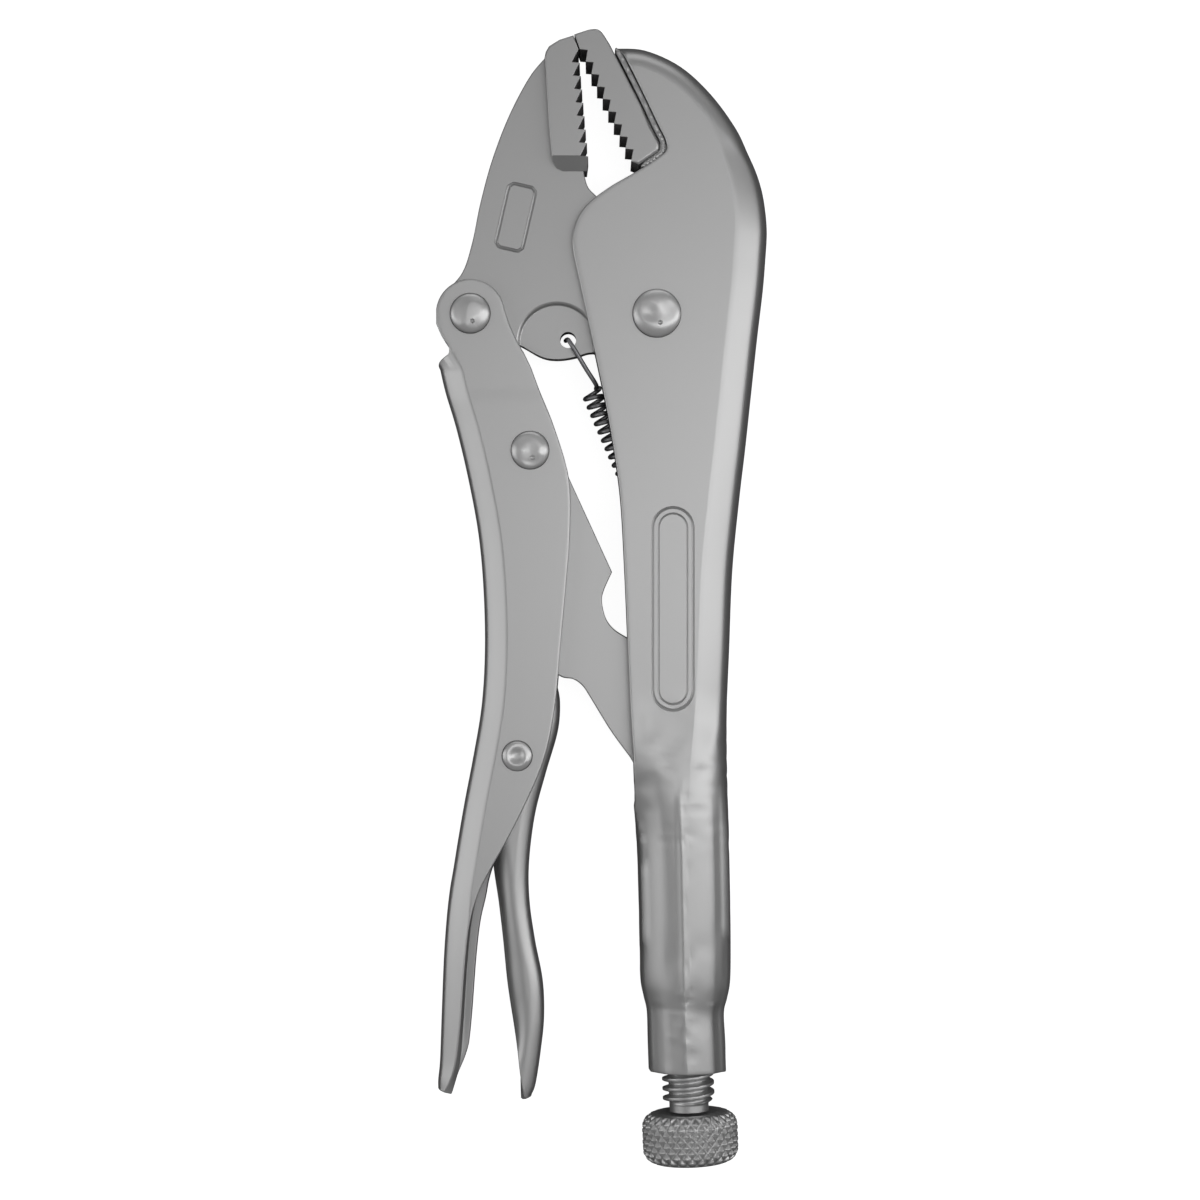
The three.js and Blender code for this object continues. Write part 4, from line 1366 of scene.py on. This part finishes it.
def thread_tree():
    """A rod with a screw thread cut into it, from a grid wrapped round its axis."""
    graph, given, close = geometry_tree(
        "screw thread", Radius="Float", Depth="Float", Pitch="Float", Length="Float", Neck="Float",
        Columns="Int", Rows="Int")
    grid = graph.add("GeometryNodeMeshGrid", Size_X=1.0, Size_Y=1.0,
                     Vertices_X=given["Columns"], Vertices_Y=given["Rows"]).outputs[0]
    at = graph.add("ShaderNodeSeparateXYZ", Vector=graph.add("GeometryNodeInputPosition").outputs[0]).outputs
    turn = graph.plus(at["X"], 0.5)
    rise = graph.plus(at["Y"], 0.5)
    along = graph.times(graph.spread(rise, 0.01, 0.99, 0.0, 1.0, "LINEAR"), given["Length"])
    phase = graph.minus(graph.math("DIVIDE", along, given["Pitch"]), turn)
    ridge = graph.spread(graph.math("PINGPONG", phase, 0.5), THREAD_FLOOR, THREAD_CREST)
    left = graph.minus(given["Length"], along)
    fade = graph.times(graph.spread(along, 0.0, 1.2), graph.spread(left, given["Neck"], 2.6))
    sunk = graph.times(given["Depth"], graph.minus(1.0, graph.times(ridge, fade)))
    open_rows = graph.times(graph.math("GREATER_THAN", rise, END_ROW),
                            graph.math("LESS_THAN", rise, 1 - END_ROW))
    radius = graph.times(graph.minus(given["Radius"], sunk), open_rows)
    angle = graph.times(turn, 2 * math.pi)
    x = graph.times(radius, graph.math("COSINE", angle))
    y = graph.times(radius, graph.math("SINE", angle))
    place = graph.add("ShaderNodeCombineXYZ", X=x, Y=y, Z=along).outputs[0]
    marked = mark_roots(graph, grid, graph.math("DIVIDE", sunk, given["Depth"]))
    wrapped = graph.add("GeometryNodeSetPosition", Geometry=marked, Position=place).outputs[0]
    close(graph.add("GeometryNodeMergeByDistance", Geometry=wrapped, Distance=0.002).outputs[0])
    return graph.tree


KNURL_CREST = 0.36  # where a diamond's slope ends in its flat top, in shares of a diamond
KNOB_ROUND_STEPS, KNOB_BAND_STEPS, SIDES_PER_DIAMOND = 16, 32, 14


def knurl_tree():
    """Sinks crossing slanted grooves into a turned blank that carries turn, rise and share."""
    graph, given, close = geometry_tree("diamond knurl", Count="Float", Depth="Float", Diamond="Float")

    def named(label):
        node = graph.add("GeometryNodeInputNamedAttribute", {"data_type": "FLOAT"}, Name=label)
        return node.outputs["Attribute"]

    turns = graph.times(named("turn"), given["Count"])
    rows = graph.math("DIVIDE", named("rise"), given["Diamond"])
    left = graph.math("PINGPONG", graph.plus(turns, rows), 0.5)
    right = graph.math("PINGPONG", graph.minus(turns, rows), 0.5)
    height = graph.spread(graph.math("MINIMUM", left, right), 0.0, KNURL_CREST, 0.0, 1.0, "LINEAR")
    sunk = graph.times(graph.minus(1.0, height), graph.times(named("share"), given["Depth"]))
    at = graph.add("ShaderNodeSeparateXYZ", Vector=graph.add("GeometryNodeInputPosition").outputs[0]).outputs
    outward = graph.add("ShaderNodeCombineXYZ", X=at["X"], Y=at["Y"]).outputs[0]
    outward = graph.add("ShaderNodeVectorMath", {"operation": "NORMALIZE"}, Vector=outward).outputs[0]
    inward = graph.add("ShaderNodeVectorMath", {"operation": "SCALE"}, Vector=outward,
                       Scale=graph.times(sunk, -1.0)).outputs[0]
    marked = mark_roots(graph, given["Geometry"], graph.math("DIVIDE", sunk, given["Depth"]))
    close(graph.add("GeometryNodeSetPosition", Geometry=marked, Offset=inward).outputs[0])
    return graph.tree


def knob_blank(sizes):
    """The knob's turned blank along +Z, with attributes for the knurl."""
    radius, height, corner = sizes.knob_radius, sizes.knob_height, sizes.knob_round
    rim = []
    for i in range(KNOB_ROUND_STEPS + 1):
        a = i / KNOB_ROUND_STEPS * math.pi / 2
        rim.append((math.sin(a), math.cos(a)))
    profile = [(0, 0.35, 0), (3.2, 0.35, 0), (5.4, 0.35, 0), (6.1, 0.12, 0), (6.8, 0.0, 0)]
    for s, c in rim:
        profile.append((radius - corner + corner * s, corner - corner * c, smooth(0.1, 0.7, s)))
    band = height - 2 * corner
    for i in range(1, KNOB_BAND_STEPS):
        profile.append((radius, corner + band * i / KNOB_BAND_STEPS, 1.0))
    for s, c in rim:
        profile.append((radius - corner + corner * c, height - corner + corner * s, smooth(0.1, 0.7, c)))
    profile += [(6.6, height - 0.15, 0), (6.2, height - 0.3, 0), (3.0, height - 0.3, 0), (0, height - 0.3, 0)]
    sides = sizes.knurl_count * SIDES_PER_DIAMOND
    bm = bmesh.new()
    layers = [bm.verts.layers.float.new(label) for label in ("turn", "rise", "share")]
    rings = []
    for r, z, share in profile:
        ring = []
        for i in range(sides if r else 1):
            a = 2 * math.pi * i / sides
            v = bm.verts.new((r * math.cos(a), r * math.sin(a), z))
            for layer, value in zip(layers, (i / sides, z, share)):
                v[layer] = value
            ring.append(v)
        rings.append(ring * (1 if r else sides))
    join_rings(bm, rings)
    bmesh.ops.recalc_face_normals(bm, faces=bm.faces)
    return mesh_from("knob_blank", bm)


def threaded_rod(sizes, steel):
    length = KNOB_START - JOIN_GAP - ROD_START
    values = {"Radius": sizes.screw_radius, "Depth": sizes.thread_depth, "Pitch": sizes.thread_pitch,
              "Length": length, "Neck": 1.5, "Columns": 73, "Rows": 380}
    rod = grown("screw_thread", bpy.data.meshes.new("rod_seed"), thread_tree(), values, steel)
    rod.data.transform(TO_FRAME @ screw_axes(ROD_START))
    return shade(rod, 50)


def knurled_knob(sizes, steel):
    values = {"Count": float(sizes.knurl_count), "Depth": sizes.knurl_depth, "Diamond": 2.5}
    knob = grown("knob_knurled", knob_blank(sizes), knurl_tree(), values, steel)
    knob.data.transform(TO_FRAME @ screw_axes(KNOB_START))
    return shade(knob, 60)


def screw_tip():
    r, end = TIP_RADIUS, ROD_START - JOIN_GAP
    profile = [(0, TIP_START)]
    for a in (0, 0.3, 0.6, 0.9, 1.2, 1.5):
        out, along = TIP_ROUND * math.sin(a), TIP_ROUND * math.cos(a)
        profile.append((r - TIP_ROUND + out, TIP_START + TIP_ROUND - along))
    profile += [(r, TIP_START + 1.5), (r, end - 0.3), (r - 0.3, end), (0, end)]
    axes = screw_axes(0)
    return shade(lathe("screw_tip_turned", profile, lambda x, y, z: axes @ Vector((x, y, z)), 48), 35)


class PLIERS_OT_screw(bpy.types.Operator):
    """Build the adjusting screw's thread, its knurled knob and the tip that meets the link"""

    bl_idname = "pliers.screw"
    bl_label = "Adjusting screw"

    def execute(self, context):
        sizes = context.scene.pliers_sizes
        steel = turned_steel()
        finish_piece(threaded_rod(sizes, steel), steel, "adjusting_screw", "adjusting_screw")
        finish_piece(knurled_knob(sizes, steel), steel, "knurled_knob", "adjusting_screw")
        finish_piece(screw_tip(), steel, "screw_tip", "screw_slide")
        return {"FINISHED"}


# ---------------------------------------------------------------- return spring

COIL_START, COIL_END = Vector((-2.2, 45.2, 0)), Vector((7.2, 23.4, 0))


def spring_tree():
    """Coils of a round wire, with the hooks of the source mesh's edges."""
    graph, given, close = geometry_tree(
        "coil spring", Wire="Float", Radius="Float", Length="Float", Turns="Float")
    coils = graph.add(
        "GeometryNodeCurveSpiral", Resolution=28, Rotations=given["Turns"],
        Start_Radius=given["Radius"], End_Radius=given["Radius"], Height=given["Length"]).outputs[0]
    hooks = graph.add("GeometryNodeMeshToCurve", Mesh=given["Geometry"]).outputs[0]
    joined = graph.add("GeometryNodeJoinGeometry")
    graph.feed(coils, joined.inputs[0])
    graph.feed(hooks, joined.inputs[0])
    section = graph.add("GeometryNodeCurvePrimitiveCircle", Resolution=12, Radius=given["Wire"]).outputs[0]
    path = joined.outputs[0]
    wire = graph.add("GeometryNodeCurveToMesh", Curve=path, Profile_Curve=section, Fill_Caps=True)
    close(wire.outputs[0])
    return graph.tree


def coil_frame():
    """Local axes of the coils: along them, and out to where the wire leaves the first turn."""
    along = (COIL_END - COIL_START).normalized()
    side = Vector((-along.y, along.x, 0))
    columns = Matrix((side, along.cross(side), along)).transposed().to_4x4()
    return Matrix.Translation(COIL_START) @ columns


def hook_edges(sizes):
    """The straight hook to the jaw and the short hook on the peg, as edges in the coils' axes."""
    into_local = coil_frame().inverted()
    length = (COIL_END - COIL_START).length
    r = sizes.spring_radius
    x, y = SPRING_HOLE
    from_jaw = [
        (x - 0.6, y + 0.5, -4.9), (x - 0.4, y + 0.4, -2), (x, y, 3.0), (x + 0.6, y - 0.9, 4.0),
        (x + 1.6, y - 2.5, 4.0), (-3.4, 50.0, 3.3), (-1.2, 46.6, 2.2),
    ]
    to_peg = [
        (7.9, 21.0, 1.6), (8.4, 19.6, 1.9), (10.2, 18.2, 1.9), (10.5, 16.6, 1.9), (9.2, 15.4, 1.9),
        (7.6, 15.8, 1.9),
    ]
    upper = [into_local @ Vector(p) for p in from_jaw]
    upper += [Vector((r * math.cos(a), r * math.sin(a), 0.33 * a)) for a in (-0.9, -0.4, 0)]
    lower = [Vector((r, 0, length)), Vector((r * 0.8, r * 0.6, length + 0.4))]
    lower += [into_local @ Vector(p) for p in to_peg]
    bm = bmesh.new()
    for points in (upper, lower):
        path = spline([tuple(p) for p in points], 40)
        chain = [bm.verts.new(p) for p in path]
        for first, second in zip(chain, chain[1:]):
            bm.edges.new((first, second))
    return mesh_from("hooks", bm)


class PLIERS_OT_spring(bpy.types.Operator):
    """Build the return spring, which runs from the peg on the handle to the hole in the movable jaw"""

    bl_idname = "pliers.spring"
    bl_label = "Return spring"

    def execute(self, context):
        sizes = context.scene.pliers_sizes
        values = {"Wire": sizes.spring_wire, "Radius": sizes.spring_radius,
                  "Turns": float(sizes.spring_turns), "Length": (COIL_END - COIL_START).length}
        steel = spring_wire()
        spring = grown("return_spring_wire", hook_edges(sizes), spring_tree(), values, steel)
        spring.data.transform(TO_FRAME @ coil_frame())
        shade(spring, 50)
        spring.data.materials.clear()
        spring.data.materials.append(steel)
        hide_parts("return_spring")
        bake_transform(spring)
        return {"FINISHED"}


# ---------------------------------------------------------------- stage

CAMERA_HEIGHT = 0.64
CAMERA_WIDTH = 0.2632  # width of the picture at the tool's middle plane
AIM = Vector((-0.33, -0.49, 0)) * MM
STUDIO = [
    {"name": "key_light", "at": (0.54, 0.03, 0.66), "size": (0.28, 1.5), "power": 2.6},
    {"name": "fill_light", "at": (-0.80, 0.0, 0.22), "size": (0.40, 1.6), "power": 2.1},
    {"name": "top_light", "at": (0.0, 0.3, 1.2), "size": (0.8, 0.8), "power": 0.3},
    {"name": "upper_light", "at": (0.05, 0.95, 0.30), "size": (1.0, 0.4), "power": 1.0},
]


def pale_floor():
    """A pale floor that shows almost white and stays dimmer in the metal's reflections."""
    material = bpy.data.materials.new("pale_floor")
    material.use_nodes = True
    tree = material.node_tree
    tree.nodes.clear()
    graph = Graph(tree)
    place = graph.add("ShaderNodeTexCoord").outputs["Object"]
    mottled = graph.add("ShaderNodeTexNoise", Vector=place, Scale=3.0).outputs["Fac"]
    shown = graph.add("ShaderNodeBsdfDiffuse", Color=grey(0.4)).outputs[0]
    strength = graph.spread(mottled, 0, 1, 0.93, 0.95)
    glow = graph.add("ShaderNodeEmission", Color=grey(1.0), Strength=strength).outputs[0]
    bright = graph.add("ShaderNodeAddShader")
    graph.feed(shown, bright.inputs[0])
    graph.feed(glow, bright.inputs[1])
    dim = graph.add("ShaderNodeBsdfDiffuse", Color=grey(0.09)).outputs[0]
    seen = graph.add("ShaderNodeLightPath").outputs["Is Camera Ray"]
    choice = graph.add("ShaderNodeMixShader", Fac=seen)
    graph.feed(dim, choice.inputs[1])
    graph.feed(bright.outputs[0], choice.inputs[2])
    graph.add("ShaderNodeOutputMaterial", Surface=choice.outputs[0])
    return material


class PLIERS_OT_stage(bpy.types.Operator):
    """Set up the pale floor, the soft studio lights and the camera"""

    bl_idname = "pliers.stage"
    bl_label = "Studio"

    def execute(self, context):
        scene = context.scene
        bm = bmesh.new()
        bmesh.ops.create_grid(bm, x_segments=8, y_segments=8, size=4.0)
        data = mesh_from("studio_floor", bm)
        data.materials.append(pale_floor())
        add_object("studio_floor", data)
        middle = Vector((0, 0, DRAWING_ORIGIN.z))
        for light in STUDIO:
            lamp = bpy.data.lights.new(light["name"], "AREA")
            lamp.shape = "RECTANGLE"
            lamp.size, lamp.size_y = light["size"]
            lamp.energy = light["power"]
            holder = add_object(light["name"], lamp)
            holder.visible_camera = False
            holder.location = light["at"]
            holder.rotation_euler = (middle - holder.location).to_track_quat("-Z", "Y").to_euler()
        world = bpy.data.worlds.new("studio_air")
        world.use_nodes = True
        world.node_tree.nodes["Background"].inputs["Color"].default_value = grey(0.24)
        scene.world = world
        lens = bpy.data.cameras.new("studio_camera")
        lens.sensor_width = 36
        lens.lens = lens.sensor_width * CAMERA_HEIGHT / CAMERA_WIDTH
        camera = add_object("studio_camera", lens)
        camera.location = DRAWING_ORIGIN + AIM + Vector((0, 0, CAMERA_HEIGHT))
        scene.camera = camera
        scene.view_settings.view_transform = "Standard"
        return {"FINISHED"}


# ---------------------------------------------------------------- panel and running

OPERATORS = (
    PLIERS_OT_stage, PLIERS_OT_fixed_handle, PLIERS_OT_welds, PLIERS_OT_fixed_jaw, PLIERS_OT_movable_jaw,
    PLIERS_OT_lever, PLIERS_OT_toggle_link, PLIERS_OT_release_lever, PLIERS_OT_rivets, PLIERS_OT_screw,
    PLIERS_OT_spring,
)


class PLIERS_PT_panel(bpy.types.Panel):
    bl_label = "Locking pliers"
    bl_space_type = "VIEW_3D"
    bl_region_type = "UI"
    bl_category = "Pliers"

    def draw(self, context):
        for group in (context.scene.pliers_sizes, context.scene.pliers_finish):
            for name in group.__annotations__:
                self.layout.prop(group, name)
        for operator in OPERATORS:
            self.layout.operator(operator.bl_idname)


CLASSES = (PliersSizes, PliersFinish, *OPERATORS, PLIERS_PT_panel)


def register():
    for item in CLASSES:
        bpy.utils.register_class(item)
    bpy.types.Scene.pliers_sizes = PointerProperty(type=PliersSizes)
    bpy.types.Scene.pliers_finish = PointerProperty(type=PliersFinish)


def unregister():
    del bpy.types.Scene.pliers_finish
    del bpy.types.Scene.pliers_sizes
    for item in reversed(CLASSES):
        bpy.utils.unregister_class(item)


def main():
    register()
    for operator in OPERATORS:
        name = operator.bl_idname.split(".")[1]
        if getattr(bpy.ops.pliers, name)() != {"FINISHED"}:
            raise RuntimeError(name + " was not finished")


if __name__ == "__main__":
    main()
